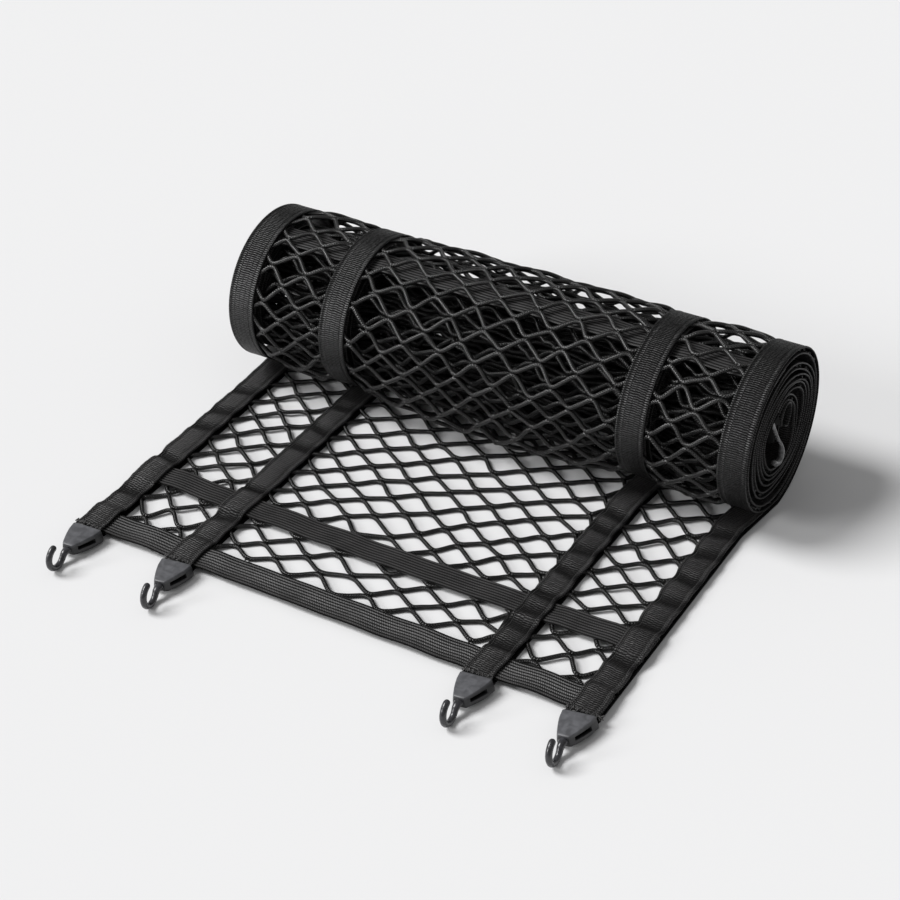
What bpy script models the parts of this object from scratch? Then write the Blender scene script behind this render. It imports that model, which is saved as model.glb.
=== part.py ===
"""Elastic cargo net, wound into a roll with its front end laid out flat.

The net lies on the ground with its hooked front edge towards -Y. It is flat for
LOOSE_LENGTH and then wound up, so that the underside of the flat end is the outside of
the roll. A place on the net is given by three lengths: across, from the left edge;
along, from the front edge and then round the outer turn; and depth, from the face that
touches the ground or, in the roll, from its outside towards its centre.
"""

import math
from collections import namedtuple

import bmesh
import bpy
from mathutils import Matrix, Vector

# Driving dimensions, in metres.
GAP = 0.0003
WEBBING_WIDTH = 0.0254
WEBBING_THICKNESS = 0.0015
NET_WIDTH = 0.4895
NET_THICKNESS = 0.0028
CORD_WIDTH = 0.0033
LOOSE_LENGTH = 0.3067

# The roll: its centre, how much wider it is than the flat end, and its facets.
ROLL_CENTRE_ACROSS = 0.2464
ROLL_SPREAD = 1.0243
SPREAD_START = 0.2515
FACETS_PER_TURN = 28
NET_END_TURN = 4.577

Turn = namedtuple("Turn", "bottom back top front")
# Distance of each turn's outer face from the roll's centre, from the outermost turn inwards.
TURNS = (
    Turn(bottom=0.0759, back=0.0740, top=0.0695, front=0.0730),
    Turn(bottom=0.0685, back=0.0660, top=0.0555, front=0.0620),
    Turn(bottom=0.0535, back=0.0565, top=0.0455, front=0.0515),
    Turn(bottom=0.0450, back=0.0470, top=0.0380, front=0.0410),
    Turn(bottom=0.0385, back=0.0305, top=0.0310, front=0.0310),
)
ROLL_HEIGHT = TURNS[0].bottom
ROLL_GIRTH = 2.0 * math.pi * TURNS[0].front
FACET = ROLL_GIRTH / FACETS_PER_TURN
NET_END = LOOSE_LENGTH + NET_END_TURN * ROLL_GIRTH

# The lengthwise straps: the left edge of each, across the net.
STRAP_LEFT_EDGES = (0.0, 0.0929, 0.3752, NET_WIDTH - WEBBING_WIDTH)

# The layers of the flat end, as depths from the ground.
NET_DEPTH = WEBBING_THICKNESS + GAP
BAND_DEPTH = NET_DEPTH + NET_THICKNESS + GAP
BAND_THICKNESS = 0.0013
RIB_HEIGHT = 0.0004
FACE_STRAP_THICKNESS = 0.0013
FACE_STRAP_LIFT = BAND_THICKNESS + RIB_HEIGHT + GAP
STRAP_RAMP = 0.004

# The elastic bands that cross the net: front edge and width, along the net. The third lies
# under the cords of the outer turn, which dip between their rows of crossings.
THIRD_BAND_START = LOOSE_LENGTH + 0.508 * ROLL_GIRTH
CORD_DIP = 0.0012
Band = namedtuple("Band", "name start width sag depth outward")
BANDS = (
    Band("band_front", 0.0005, 0.0255, sag=0.002, depth=BAND_DEPTH, outward=False),
    Band("band_second", 0.0780, 0.0235, sag=0.004, depth=BAND_DEPTH, outward=False),
    Band("band_third", THIRD_BAND_START, 0.0235, sag=0.0, depth=BAND_DEPTH + CORD_DIP, outward=True),
)
BAND_RIBS = 8
BAND_PIECES = 6

# The mesh of the net: half columns in each bay between straps, half rows along each stretch.
Stretch = namedtuple("Stretch", "start end half_rows bay_columns")
FRONT_STRETCH = Stretch(start=0.0265, end=0.0765, half_rows=4, bay_columns=(4, 13, 4))
MAIN_STRETCH = Stretch(start=0.1015, end=0.2815, half_rows=12, bay_columns=(4, 13, 4))
ROLL_MESH_FIRST_FOLD = 5
ROLL_MESH_LAST_FOLD = 27
ROLL_STRETCH = Stretch(
    start=LOOSE_LENGTH + ROLL_MESH_FIRST_FOLD * FACET,
    end=LOOSE_LENGTH + ROLL_MESH_LAST_FOLD * FACET,
    half_rows=(ROLL_MESH_LAST_FOLD - ROLL_MESH_FIRST_FOLD) // 2,
    bay_columns=(2, 7, 2),
)
NET_FRONT_EDGE = 0.0012

# The hooks: a moulded body on each strap and a bent wire that leaves its tip.
BODY_LENGTH = 0.0300
BODY_WIDTH = 0.0285
BODY_TIP_WIDTH = 0.0095
BODY_THICKNESS = 0.0098
BODY_TIP_THICKNESS = 0.0080
BODY_ROUNDING = 0.0012
SLOT_BORDER = 0.0033
SLOT_DEPTH = 0.0025
WIRE_RADIUS = 0.0023
WIRE_SIDES = 8
SHANK_STRAIGHT = 0.0020
BEND_RADIUS = 0.0102
BEND_CENTRE_AHEAD = 0.0457
BEND_CENTRE_UP = 0.0015
BEND_FIRST_ANGLE = math.radians(203.0)
BEND_LAST_ANGLE = math.radians(434.0)
BEND_STEPS = 11
HOOK_PITCH = math.radians(5.0)
HOOK_HEIGHT = (
    BEND_RADIUS + WIRE_RADIUS
    - BEND_CENTRE_AHEAD * math.sin(HOOK_PITCH)
    - BEND_CENTRE_UP * math.cos(HOOK_PITCH)
)

HookPose = namedtuple("HookPose", "across along yaw lean")
FRONT_HOOKS = (
    HookPose(across=0.0153, along=-0.0050, yaw=math.radians(4.0), lean=math.radians(0.0)),
    HookPose(across=0.1083, along=-0.0070, yaw=math.radians(8.2), lean=math.radians(-1.0)),
    HookPose(across=0.3900, along=-0.0085, yaw=math.radians(3.6), lean=math.radians(-4.0)),
    HookPose(across=0.4774, along=-0.0075, yaw=math.radians(4.5), lean=math.radians(-6.0)),
)

# The hooks of the far end lie in the middle of the roll, tips down.
FAR_HOOK_BEHIND_CENTRE = -0.0195
FAR_HOOK_TURN = math.radians(113.0)
FarHookPose = namedtuple("FarHookPose", "across height lean")
FAR_HOOKS = (
    FarHookPose(across=0.0142, height=0.0972, lean=math.radians(4.0)),
    FarHookPose(across=0.1056, height=0.0972, lean=math.radians(-3.0)),
    FarHookPose(across=0.3879, height=0.0972, lean=math.radians(5.0)),
    FarHookPose(across=0.4752, height=0.0961, lean=math.radians(-13.0)),
)

# The middle of the whole part's outline, in the net's own lengths.
HOOK_REACH = 0.05763
ORIGIN_ACROSS = ROLL_CENTRE_ACROSS
ORIGIN_ALONG = (LOOSE_LENGTH + TURNS[0].back + FRONT_HOOKS[2].along - HOOK_REACH) / 2.0

BLACK_CORD = (0.020, 0.020, 0.022)
BLACK_WEBBING = (0.028, 0.028, 0.030)
BLACK_ELASTIC = (0.024, 0.024, 0.026)
DARK_GREY = (0.070, 0.070, 0.075)
BLACK_GLOSS = (0.030, 0.030, 0.033)
PALE_GREY = (0.360, 0.360, 0.370)


def material(name, colour, roughness):
    """One Principled material in the part's own colour."""
    made = bpy.data.materials.new(name)
    made.use_nodes = True
    shader = made.node_tree.nodes["Principled BSDF"]
    shader.inputs["Base Color"].default_value = (*colour, 1.0)
    shader.inputs["Roughness"].default_value = roughness
    shader.inputs["Metallic"].default_value = 0.0
    return made


def turn_radius(turn):
    """The outer face's distance from the roll's centre, smooth through the quarter turns."""
    quarters = [radius for row in TURNS for radius in row]
    place_in_list = min(turn * 4.0, len(quarters) - 1.001)
    index = int(place_in_list)
    share = place_in_list - index
    before = quarters[max(index - 1, 0)]
    here = quarters[index]
    following = quarters[index + 1]
    after = quarters[min(index + 2, len(quarters) - 1)]
    return here + 0.5 * share * (
        following - before
        + share * (2.0 * before - 5.0 * here + 4.0 * following - after)
        + share * share * (3.0 * (here - following) + after - before)
    )


def widened(across, share):
    """The roll is a little wider than the flat end; share runs from 0 to 1 between them."""
    spread = ROLL_CENTRE_ACROSS + (across - NET_WIDTH / 2.0) * ROLL_SPREAD
    return across + share * (spread - across)


def wound_point(across, facet, depth):
    """A corner of the roll's many-sided section, with the first one on the ground."""
    turn = facet / FACETS_PER_TURN
    angle = 2.0 * math.pi * turn
    radius = turn_radius(turn) - depth
    behind = LOOSE_LENGTH + radius * math.sin(angle)
    return Vector((widened(across, 1.0), behind, ROLL_HEIGHT - radius * math.cos(angle)))


def place(across, along, depth):
    """Where a place on the net lies."""
    if along <= LOOSE_LENGTH:
        share = max(0.0, (along - SPREAD_START) / (LOOSE_LENGTH - SPREAD_START))
        return Vector((widened(across, share), along, depth))
    steps = (along - LOOSE_LENGTH) / FACET
    facet = math.floor(steps + 1e-6)
    start = wound_point(across, facet, depth)
    return start.lerp(wound_point(across, facet + 1, depth), steps - facet)


def add_object(name, mesh_data, look, frame):
    """A named object in the scene, held by the net's frame."""
    made = bpy.data.objects.new(name, mesh_data)
    bpy.context.scene.collection.objects.link(made)
    made.parent = frame
    made.data.materials.append(look)
    return made


def counterclockwise(polygon):
    """The same polygon, turned so that its area is positive."""
    twice_area = sum(
        a[0] * b[1] - b[0] * a[1] for a, b in zip(polygon, polygon[1:] + polygon[:1])
    )
    return polygon if twice_area > 0.0 else polygon[::-1]


def laid_solid(name, polygons, near, far):
    """A closed solid from polygons in across and along, laid at two depths and walled round.

    near and far give the two depths at a place along the net.
    """
    body = bmesh.new()
    corners = {}

    def corner(point, depth_of, side):
        key = (round(point[0], 6), round(point[1], 6), side)
        if key not in corners:
            corners[key] = body.verts.new(place(point[0], point[1], depth_of(point[1])))
        return corners[key]

    def key_of(point):
        return (round(point[0], 6), round(point[1], 6))

    walls = {}
    for polygon in polygons:
        turned = counterclockwise(polygon)
        for second in range(1, len(turned) - 1):
            triangle = (turned[0], turned[second], turned[second + 1])
            body.faces.new([corner(point, near, 0) for point in reversed(triangle)])
            body.faces.new([corner(point, far, 1) for point in triangle])
        for start, end in zip(turned, turned[1:] + turned[:1]):
            walls[(key_of(start), key_of(end))] = (start, end)
    for (start_key, end_key), (start, end) in walls.items():
        if (end_key, start_key) not in walls:
            body.faces.new((
                corner(start, near, 0), corner(end, near, 0), corner(end, far, 1), corner(start, far, 1),
            ))
    bmesh.ops.recalc_face_normals(body, faces=body.faces)
    data = bpy.data.meshes.new(name)
    body.to_mesh(data)
    body.free()
    return data


def zipped(first, second, axis):
    """Triangles that fill the space between two rows of points running side by side."""
    triangles = []
    i, j = 0, 0
    while i < len(first) - 1 or j < len(second) - 1:
        first_is_done = i == len(first) - 1
        second_is_done = j == len(second) - 1
        if second_is_done or (not first_is_done and first[i + 1][axis] <= second[j + 1][axis]):
            triangles.append([first[i], first[i + 1], second[j]])
            i += 1
        else:
            triangles.append([first[i], second[j + 1], second[j]])
            j += 1
    return triangles


def bays():
    """The stretches of open net between the straps, as their left and right edges."""
    rights = [left + WEBBING_WIDTH for left in STRAP_LEFT_EDGES]
    return list(zip(rights[:-1], STRAP_LEFT_EDGES[1:]))


def mesh_reach(column_step, row_step):
    """How far a crossing's corners lie from its middle, across and along."""
    slope = math.atan2(row_step, column_step)
    return CORD_WIDTH / 2.0 / math.sin(slope), CORD_WIDTH / 2.0 / math.cos(slope)


def edge_chain(across, odd_column, rows, reach_along, bends):
    """The points on a bay's edge, from front to back, where cords and folds meet it."""
    chain = []
    for number, row in enumerate(rows):
        meets_crossing = (number + odd_column) % 2 == 0
        if meets_crossing and number > 0:
            chain.append((across, row - reach_along))
        if meets_crossing or bends or number in (0, len(rows) - 1):
            chain.append((across, row))
        if meets_crossing and number < len(rows) - 1:
            chain.append((across, row + reach_along))
        if bends and number < len(rows) - 1:
            chain.append((across, (row + rows[number + 1]) / 2.0))
    return chain


def bay_mesh(left, right, columns, rows):
    """The cords and crossings of one bay, and the points on its first and last row."""
    column_step = (right - left) / columns
    row_step = rows[1] - rows[0]
    reach_across, reach_along = mesh_reach(column_step, row_step)
    last_column = columns
    last_row = len(rows) - 1

    def centre(i, k):
        return (left + i * column_step, rows[k])

    def east(i, k):
        return (left + i * column_step + reach_across, rows[k])

    def west(i, k):
        return (left + i * column_step - reach_across, rows[k])

    def north(i, k):
        return (left + i * column_step, rows[k] + reach_along)

    def south(i, k):
        return (left + i * column_step, rows[k] - reach_along)

    polygons = []
    ends = {0: [], last_row: []}
    for k in range(last_row + 1):
        for i in range(last_column + 1):
            if (i + k) % 2:
                if k in ends and i in (0, last_column):
                    ends[k].append(centre(i, k))
                continue
            right_side = centre(i, k) if i == last_column else east(i, k)
            left_side = centre(i, k) if i == 0 else west(i, k)
            if k in ends:
                ends[k] += [left_side, right_side]
            if k < last_row:
                polygons.append([left_side, right_side, north(i, k)])
            if k > 0:
                polygons.append([left_side, south(i, k), right_side])
            if k < last_row and i < last_column:
                polygons.append([east(i, k), south(i + 1, k + 1), west(i + 1, k + 1), north(i, k)])
            if k < last_row and i > 0:
                polygons.append([north(i, k), east(i - 1, k + 1), south(i - 1, k + 1), west(i, k)])
    return polygons, ends[0], ends[last_row]


def stretch_mesh(stretch, bends):
    """One stretch of netting over the full width, and the points on its two end lines."""
    row_step = (stretch.end - stretch.start) / stretch.half_rows
    rows = [stretch.start + number * row_step for number in range(stretch.half_rows + 1)]
    plain_rows = [rows[0], rows[-1]]
    if bends:
        plain_rows = [rows[0] + half * row_step / 2.0 for half in range(2 * stretch.half_rows + 1)]
    polygons = []
    front_line = [(0.0, rows[0])]
    back_line = [(0.0, rows[-1])]
    strap_edge = [(0.0, row) for row in plain_rows]
    for (left, right), columns in zip(bays(), stretch.bay_columns):
        cords, front_points, back_points = bay_mesh(left, right, columns, rows)
        reach_along = mesh_reach((right - left) / columns, row_step)[1]
        left_chain = edge_chain(left, 0, rows, reach_along, bends)
        polygons += cords + zipped(strap_edge, left_chain, axis=1)
        front_line += front_points
        back_line += back_points
        strap_edge = edge_chain(right, columns % 2, rows, reach_along, bends)
    outer_edge = [(NET_WIDTH, row) for row in plain_rows]
    polygons += zipped(strap_edge, outer_edge, axis=1)
    front_line.append((NET_WIDTH, rows[0]))
    back_line.append((NET_WIDTH, rows[-1]))
    return polygons, front_line, back_line


def net_line(along):
    """The net's two edges at one place along it."""
    return [(0.0, along), (NET_WIDTH, along)]


def net_layer(name, polygons):
    """The net's own sheet, between the straps of its two faces."""
    return laid_solid(name, polygons, lambda along: NET_DEPTH, lambda along: NET_DEPTH + NET_THICKNESS)


def build_loose_net(frame, look):
    """The flat end of the net, open between the straps and solid under the bands."""
    front_mesh, front_edge, under_band = stretch_mesh(FRONT_STRETCH, bends=False)
    main_mesh, behind_band, main_end = stretch_mesh(MAIN_STRETCH, bends=False)
    polygons = front_mesh + main_mesh
    polygons += zipped(net_line(NET_FRONT_EDGE), front_edge, axis=0)
    polygons += zipped(under_band, behind_band, axis=0)
    polygons += zipped(main_end, net_line(LOOSE_LENGTH - GAP), axis=0)
    return add_object("net_loose_end", net_layer("net_loose_end", polygons), look, frame)


def plain_net(lines):
    """The net without openings, from each line of points to the next."""
    return [triangle for pair in zip(lines, lines[1:]) for triangle in zipped(*pair, axis=0)]


def build_wound_net(frame, look):
    """The roll: one sheet wound inwards, open between the straps on its outer turn."""
    outer_mesh, outer_start, outer_end = stretch_mesh(ROLL_STRETCH, bends=True)
    rising = [net_line(LOOSE_LENGTH + fold * FACET) for fold in range(1, ROLL_MESH_FIRST_FOLD)]
    last_fold = math.floor(NET_END_TURN * FACETS_PER_TURN)
    inner = [
        net_line(LOOSE_LENGTH + fold * FACET)
        for fold in range(ROLL_MESH_LAST_FOLD + 1, last_fold + 1)
    ]
    polygons = outer_mesh + plain_net([net_line(LOOSE_LENGTH + GAP)] + rising + [outer_start])
    polygons += plain_net([outer_end] + inner + [net_line(NET_END)])
    return add_object("net_roll", net_layer("net_roll", polygons), look, frame)


def strap_polygons(left, stations):
    """A strap's length as quads between its stations."""
    right = left + WEBBING_WIDTH
    return [
        [(left, start), (right, start), (right, end), (left, end)]
        for start, end in zip(stations, stations[1:])
    ]


def strap_start(left, hook):
    """The strap ends just behind its hook's body, clear of the body's turn to one side."""
    turned = (left + WEBBING_WIDTH - hook.across) * math.sin(hook.yaw)
    return hook.along + turned + 2.0 * GAP


def build_back_strap(number, left, hook, frame, look):
    """The webbing on the net's underside, on round the outside of the roll."""
    stations = [strap_start(left, hook), SPREAD_START]
    stations += [LOOSE_LENGTH + fold * FACET for fold in range(FACETS_PER_TURN + 1)]
    name = f"strap_back_{number}"
    data = laid_solid(
        name, strap_polygons(left, stations), lambda along: 0.0, lambda along: WEBBING_THICKNESS,
    )
    return add_object(name, data, look, frame)


def face_strap_depth(along):
    """The face straps lie on the net and step up over the two flat bands."""
    for band in BANDS[:2]:
        ahead = band.start - band.sag - along
        behind = along - band.start - band.width
        away = max(ahead, behind, 0.0)
        if away < STRAP_RAMP:
            return BAND_DEPTH + FACE_STRAP_LIFT * (1.0 - away / STRAP_RAMP)
    return BAND_DEPTH


def build_face_strap(number, left, hook, frame, look):
    """The webbing on the net's upper face, over the bands, as far as it lies flat."""
    stations = [strap_start(left, hook)]
    for band in BANDS[:2]:
        ahead = band.start - band.sag
        behind = band.start + band.width
        stations += [ahead - STRAP_RAMP, ahead, behind, behind + STRAP_RAMP]
    stations = [along for along in stations if along >= stations[0]]
    stations += [SPREAD_START, LOOSE_LENGTH - GAP]
    name = f"strap_face_{number}"
    data = laid_solid(
        name,
        strap_polygons(left, stations),
        face_strap_depth,
        lambda along: face_strap_depth(along) + FACE_STRAP_THICKNESS,
    )
    return add_object(name, data, look, frame)


def build_band(band, frame, look):
    """A ribbed elastic band across the net, its ribs on the side that shows."""
    plain = band.depth + (RIB_HEIGHT if band.outward else 0.0)
    other = plain + BAND_THICKNESS
    profile = []
    for point in range(2 * BAND_RIBS + 1):
        share = point / (2 * BAND_RIBS)
        raised = RIB_HEIGHT if point % 2 else 0.0
        profile.append((share, plain - raised if band.outward else other + raised))
    flat_side = other if band.outward else plain
    profile += [(1.0, flat_side), (0.0, flat_side)]
    body = bmesh.new()
    loops = []
    for piece in range(BAND_PIECES + 1):
        share_across = piece / BAND_PIECES
        sag = band.sag * 4.0 * share_across * (1.0 - share_across)
        loops.append([
            body.verts.new(place(share_across * NET_WIDTH, band.start - sag + share * band.width, depth))
            for share, depth in profile
        ])
    for here, following in zip(loops, loops[1:]):
        for number in range(len(profile)):
            after = (number + 1) % len(profile)
            body.faces.new((here[number], here[after], following[after], following[number]))
    caps = [body.faces.new(loops[0]), body.faces.new(loops[-1])]
    bmesh.ops.triangulate(body, faces=caps)
    bmesh.ops.recalc_face_normals(body, faces=body.faces)
    data = bpy.data.meshes.new(band.name)
    body.to_mesh(data)
    body.free()
    return add_object(band.name, data, look, frame)


def hook_body_mesh():
    """The moulded body: a tapered block with rounded edges and a slot in each side wall."""
    body = bmesh.new()
    bmesh.ops.create_cube(body, size=1.0)
    for vertex in body.verts:
        at_tip = vertex.co.y < 0.0
        width = BODY_TIP_WIDTH if at_tip else BODY_WIDTH
        thickness = BODY_TIP_THICKNESS if at_tip else BODY_THICKNESS
        vertex.co = Vector((vertex.co.x * width, -BODY_LENGTH if at_tip else 0.0, vertex.co.z * thickness))
    bmesh.ops.bevel(
        body, geom=body.edges[:], offset=BODY_ROUNDING, segments=1, profile=0.5, affect="EDGES",
    )
    body.normal_update()
    slanted = [face for face in body.faces if abs(face.normal.x) > 0.9 and face.calc_area() > 1e-4]
    bmesh.ops.inset_individual(body, faces=slanted, thickness=SLOT_BORDER - BODY_ROUNDING)
    bmesh.ops.inset_individual(body, faces=slanted, thickness=GAP, depth=-SLOT_DEPTH)
    bmesh.ops.recalc_face_normals(body, faces=body.faces)
    data = bpy.data.meshes.new("hook_body")
    body.to_mesh(data)
    body.free()
    return data


def hook_wire_curve(name):
    """The bent wire: a short shank and most of a circle, with its mouth towards the body."""
    route = [Vector((0.0, -BODY_LENGTH - ahead, 0.0)) for ahead in (GAP, SHANK_STRAIGHT)]
    for step in range(BEND_STEPS + 1):
        angle = BEND_FIRST_ANGLE + (BEND_LAST_ANGLE - BEND_FIRST_ANGLE) * step / BEND_STEPS
        ahead = BEND_CENTRE_AHEAD + BEND_RADIUS * math.cos(angle)
        up = BEND_CENTRE_UP + BEND_RADIUS * math.sin(angle)
        route.append(Vector((0.0, -ahead, up)))
    curve = bpy.data.curves.new(name, "CURVE")
    curve.dimensions = "3D"
    curve.bevel_depth = WIRE_RADIUS
    curve.bevel_resolution = (WIRE_SIDES - 4) // 2
    curve.use_fill_caps = True
    spline = curve.splines.new("POLY")
    spline.points.add(len(route) - 1)
    for point, position in zip(spline.points, route):
        point.co = (*position, 1.0)
        point.tilt = math.pi / WIRE_SIDES
    return curve


def build_hook(label, location, rotation, frame, body_data, body_look, wire_look):
    """One hook: its body and its wire, placed together."""
    for name, data, look in (
        (f"hook_body_{label}", body_data, body_look),
        (f"hook_wire_{label}", hook_wire_curve(f"hook_wire_{label}"), wire_look),
    ):
        made = bpy.data.objects.new(name, data)
        bpy.context.scene.collection.objects.link(made)
        made.parent = frame
        made.location = location
        made.rotation_euler = rotation
        if look.name not in made.data.materials:
            made.data.materials.append(look)


def build_hooks(frame):
    """Four hooks at the front edge and four of the far end in the middle of the roll."""
    body_look = material("hook_body_plastic", DARK_GREY, 0.45)
    wire_look = material("hook_wire_gloss", BLACK_GLOSS, 0.20)
    far_look = material("far_hook_plastic", PALE_GREY, 0.50)
    front_mesh = hook_body_mesh()
    far_mesh = hook_body_mesh()
    for number, hook in enumerate(FRONT_HOOKS, start=1):
        build_hook(
            f"{number}",
            Vector((hook.across, hook.along, HOOK_HEIGHT)),
            (-HOOK_PITCH, hook.lean, hook.yaw),
            frame, front_mesh, body_look, wire_look,
        )
    for number, hook in enumerate(FAR_HOOKS, start=1):
        build_hook(
            f"far_{number}",
            Vector((
                widened(hook.across, 1.0),
                LOOSE_LENGTH + FAR_HOOK_BEHIND_CENTRE,
                hook.height,
            )),
            (FAR_HOOK_TURN, hook.lean, 0.0),
            frame, far_mesh, far_look, far_look,
        )


def build_net():
    """The whole part, held by one empty that puts the origin under its middle."""
    frame = bpy.data.objects.new("net_frame", None)
    bpy.context.scene.collection.objects.link(frame)
    frame.matrix_world = Matrix.Translation((-ORIGIN_ACROSS, -ORIGIN_ALONG, 0.0))
    cord = material("net_cord", BLACK_CORD, 0.80)
    webbing = material("webbing", BLACK_WEBBING, 0.75)
    elastic = material("ribbed_elastic", BLACK_ELASTIC, 0.70)
    build_loose_net(frame, cord)
    build_wound_net(frame, cord)
    for number, (left, hook) in enumerate(zip(STRAP_LEFT_EDGES, FRONT_HOOKS), start=1):
        build_back_strap(number, left, hook, frame, webbing)
        build_face_strap(number, left, hook, frame, webbing)
    for band in BANDS:
        build_band(band, frame, elastic)
    build_hooks(frame)


for existing in list(bpy.data.objects):
    bpy.data.objects.remove(existing, do_unlink=True)
build_net()
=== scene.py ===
"""Elastic cargo net, half unrolled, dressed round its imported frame.

A place on the net is given by three lengths in metres: across, from the left edge; along,
from the front edge and then round the roll; and depth, from the face that touches the
ground or, in the roll, from its outside towards its centre.
"""

import math
import random
from bisect import bisect_right
from collections import namedtuple

import bmesh
import bpy
from mathutils import Matrix, Vector


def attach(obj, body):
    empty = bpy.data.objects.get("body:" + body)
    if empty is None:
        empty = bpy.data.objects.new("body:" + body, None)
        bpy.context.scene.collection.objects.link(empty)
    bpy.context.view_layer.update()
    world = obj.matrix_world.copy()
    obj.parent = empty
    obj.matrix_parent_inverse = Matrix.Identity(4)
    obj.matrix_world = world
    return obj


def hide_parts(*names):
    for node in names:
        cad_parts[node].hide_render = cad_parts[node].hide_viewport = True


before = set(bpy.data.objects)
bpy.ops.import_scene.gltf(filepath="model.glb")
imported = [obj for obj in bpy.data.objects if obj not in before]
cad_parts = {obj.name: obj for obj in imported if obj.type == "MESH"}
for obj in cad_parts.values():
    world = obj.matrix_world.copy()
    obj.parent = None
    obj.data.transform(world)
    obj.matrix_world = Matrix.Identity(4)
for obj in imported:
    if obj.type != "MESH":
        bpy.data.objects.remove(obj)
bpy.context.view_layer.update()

bl_info = {
    "name": "Cargo net",
    "version": (1, 0, 0),
    "blender": (4, 5, 0),
    "location": "3D View > Sidebar > Cargo net",
    "description": "A rolled net of elastic cord with webbing straps, ribbed bands and hooks",
    "category": "Add Mesh",
}

MM_PER_M = 1000.0
FULL_TURN = 2.0 * math.pi

# The net's lengths, as in the solid part.
GAP = 0.0003
WEBBING_WIDTH = 0.0254
WEBBING_THICKNESS = 0.0015
NET_WIDTH = 0.4895
LOOSE_LENGTH = 0.3067
ROLL_CENTRE_ACROSS = 0.2464
ROLL_SPREAD = 1.0243
SPREAD_START = 0.2515
NET_END_TURN = 4.577
# The roll's outer face from its centre, at the bottom, back, top and front of each turn.
QUARTERS = (
    0.0759, 0.0740, 0.0695, 0.0730,
    0.0685, 0.0660, 0.0555, 0.0620,
    0.0535, 0.0565, 0.0455, 0.0515,
    0.0450, 0.0470, 0.0380, 0.0410,
    0.0385, 0.0305, 0.0310, 0.0310,
)
ROLL_HEIGHT, ROLL_BACK = QUARTERS[:2]
PLACES_PER_TURN = 100.0
HAND_WOUND = 0.0013  # how far the inner turns stray
STRAP_LEFT_EDGES = (0.0, 0.0929, 0.3752, NET_WIDTH - WEBBING_WIDTH)
CORD_MIDDLE_DEPTH = 0.0033
CORD_DIP = 0.0012
BAND_DEPTH = 0.0049
BAND_THICKNESS = 0.0013
BAND_RIBS = 8
RIB_HEIGHT = 0.0007
RIB_CORNERS = 6
FACE_STRAP_THICKNESS = 0.0013
FACE_STRAP_LIFT = 0.0020
STRAP_RAMP = 0.007
STRAP_TUCK = 0.0008
THREAD_RADIUS = 0.00030

BODY_LENGTH = 0.0300
BODY_WIDTH, BODY_TIP_WIDTH = 0.0285, 0.0095
BODY_THICKNESS, BODY_TIP_THICKNESS = 0.0098, 0.0080
WIRE_RADIUS, DRAWN_WIRE_RADIUS = 0.0023, 0.0027
BEND_RADIUS = 0.0102
DRAWN_BEND_RADIUS = BEND_RADIUS + WIRE_RADIUS - DRAWN_WIRE_RADIUS
BEND_CENTRE_AHEAD = 0.0457
BEND_CENTRE_UP = 0.0015
BEND_LAST_ANGLE = math.radians(434.0)
HOOK_REACH = 0.05763
HOOK_PITCH = math.radians(5.0)
HOOK_HEIGHT = (
    BEND_RADIUS + WIRE_RADIUS
    - BEND_CENTRE_AHEAD * math.sin(HOOK_PITCH) - BEND_CENTRE_UP * math.cos(HOOK_PITCH)
)
# The hooks' places, with their turn round the upright and their lean, in degrees.
Hook = namedtuple("Hook", "across along height yaw lean")
FRONT_HOOKS = (
    Hook(0.0153, -0.0050, HOOK_HEIGHT, 4.0, 0.0),
    Hook(0.1083, -0.0070, HOOK_HEIGHT, 8.2, -1.0),
    Hook(0.3900, -0.0085, HOOK_HEIGHT, 3.6, -4.0),
    Hook(0.4774, -0.0075, HOOK_HEIGHT, 4.5, -6.0),
)
FAR_HOOK_ALONG = LOOSE_LENGTH - 0.0195
FAR_HOOK_TURN = math.radians(113.0)
FAR_HOOKS = (
    Hook(0.0142, FAR_HOOK_ALONG, 0.0972, 0.0, 4.0),
    Hook(0.1056, FAR_HOOK_ALONG, 0.0972, 0.0, -3.0),
    Hook(0.3879, FAR_HOOK_ALONG, 0.0972, 0.0, 5.0),
    Hook(0.4752, FAR_HOOK_ALONG, 0.0961, 0.0, -13.0),
)
ORIGIN_ACROSS = ROLL_CENTRE_ACROSS
ORIGIN_ALONG = (LOOSE_LENGTH + ROLL_BACK + FRONT_HOOKS[2].along - HOOK_REACH) / 2.0

# The bands on the flat end: front edge, width, and how far the middle sags along the net.
Band = namedtuple("Band", "label start width sag")
FLAT_BANDS = (
    Band("front", 0.0005, 0.0255, 0.0009),
    Band("second", 0.0780, 0.0235, 0.0040),
)
THIRD_BAND_TURN = 0.508
THIRD_BAND_WIDTH = 0.0235

# Where the face straps are pinched by the seams under them, along each strap.
CREASES = (
    (0.056, 0.110, 0.163, 0.190, 0.225),
    (0.065, 0.108, 0.178, 0.208, 0.245),
    (0.035, 0.062, 0.080, 0.102, 0.138, 0.168, 0.200, 0.222),
    (0.062, 0.108, 0.143, 0.174, 0.210, 0.240),
)
CREASE_REACH = 0.0100
PUCKER = 0.0017  # how far a face strap rises between its creases
# Where the two seams run, as shares of a strap's width, and from and how far along it.
SEAMS = (0.135, 0.865)
SEAM_START, SEAM_LENGTH = 0.006, 0.29
TACK_WIDTH = 0.0026
TACK_RADIUS = 0.00072
# Where in the outer turn the back straps are left unshaded, and how far that reaches: away from it,
# towards the roll's top and bottom, shade is painted on them.
LIT_BAND_TURN, LIT_BAND_REACH = 0.735, 0.27


# ---------------------------------------------------------------- places on the net

def smooth_step(edge0, edge1, value):
    """0 below edge0, 1 above edge1, and a smooth rise between them."""
    share = min(1.0, max(0.0, (value - edge0) / (edge1 - edge0)))
    return share * share * (3.0 - 2.0 * share)


def bump(value, middle, half_width):
    """1 at the middle, falling smoothly to 0 at half_width on either side."""
    away = abs(value - middle) / half_width
    return 0.0 if away >= 1.0 else (1.0 - away * away) ** 2


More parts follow.
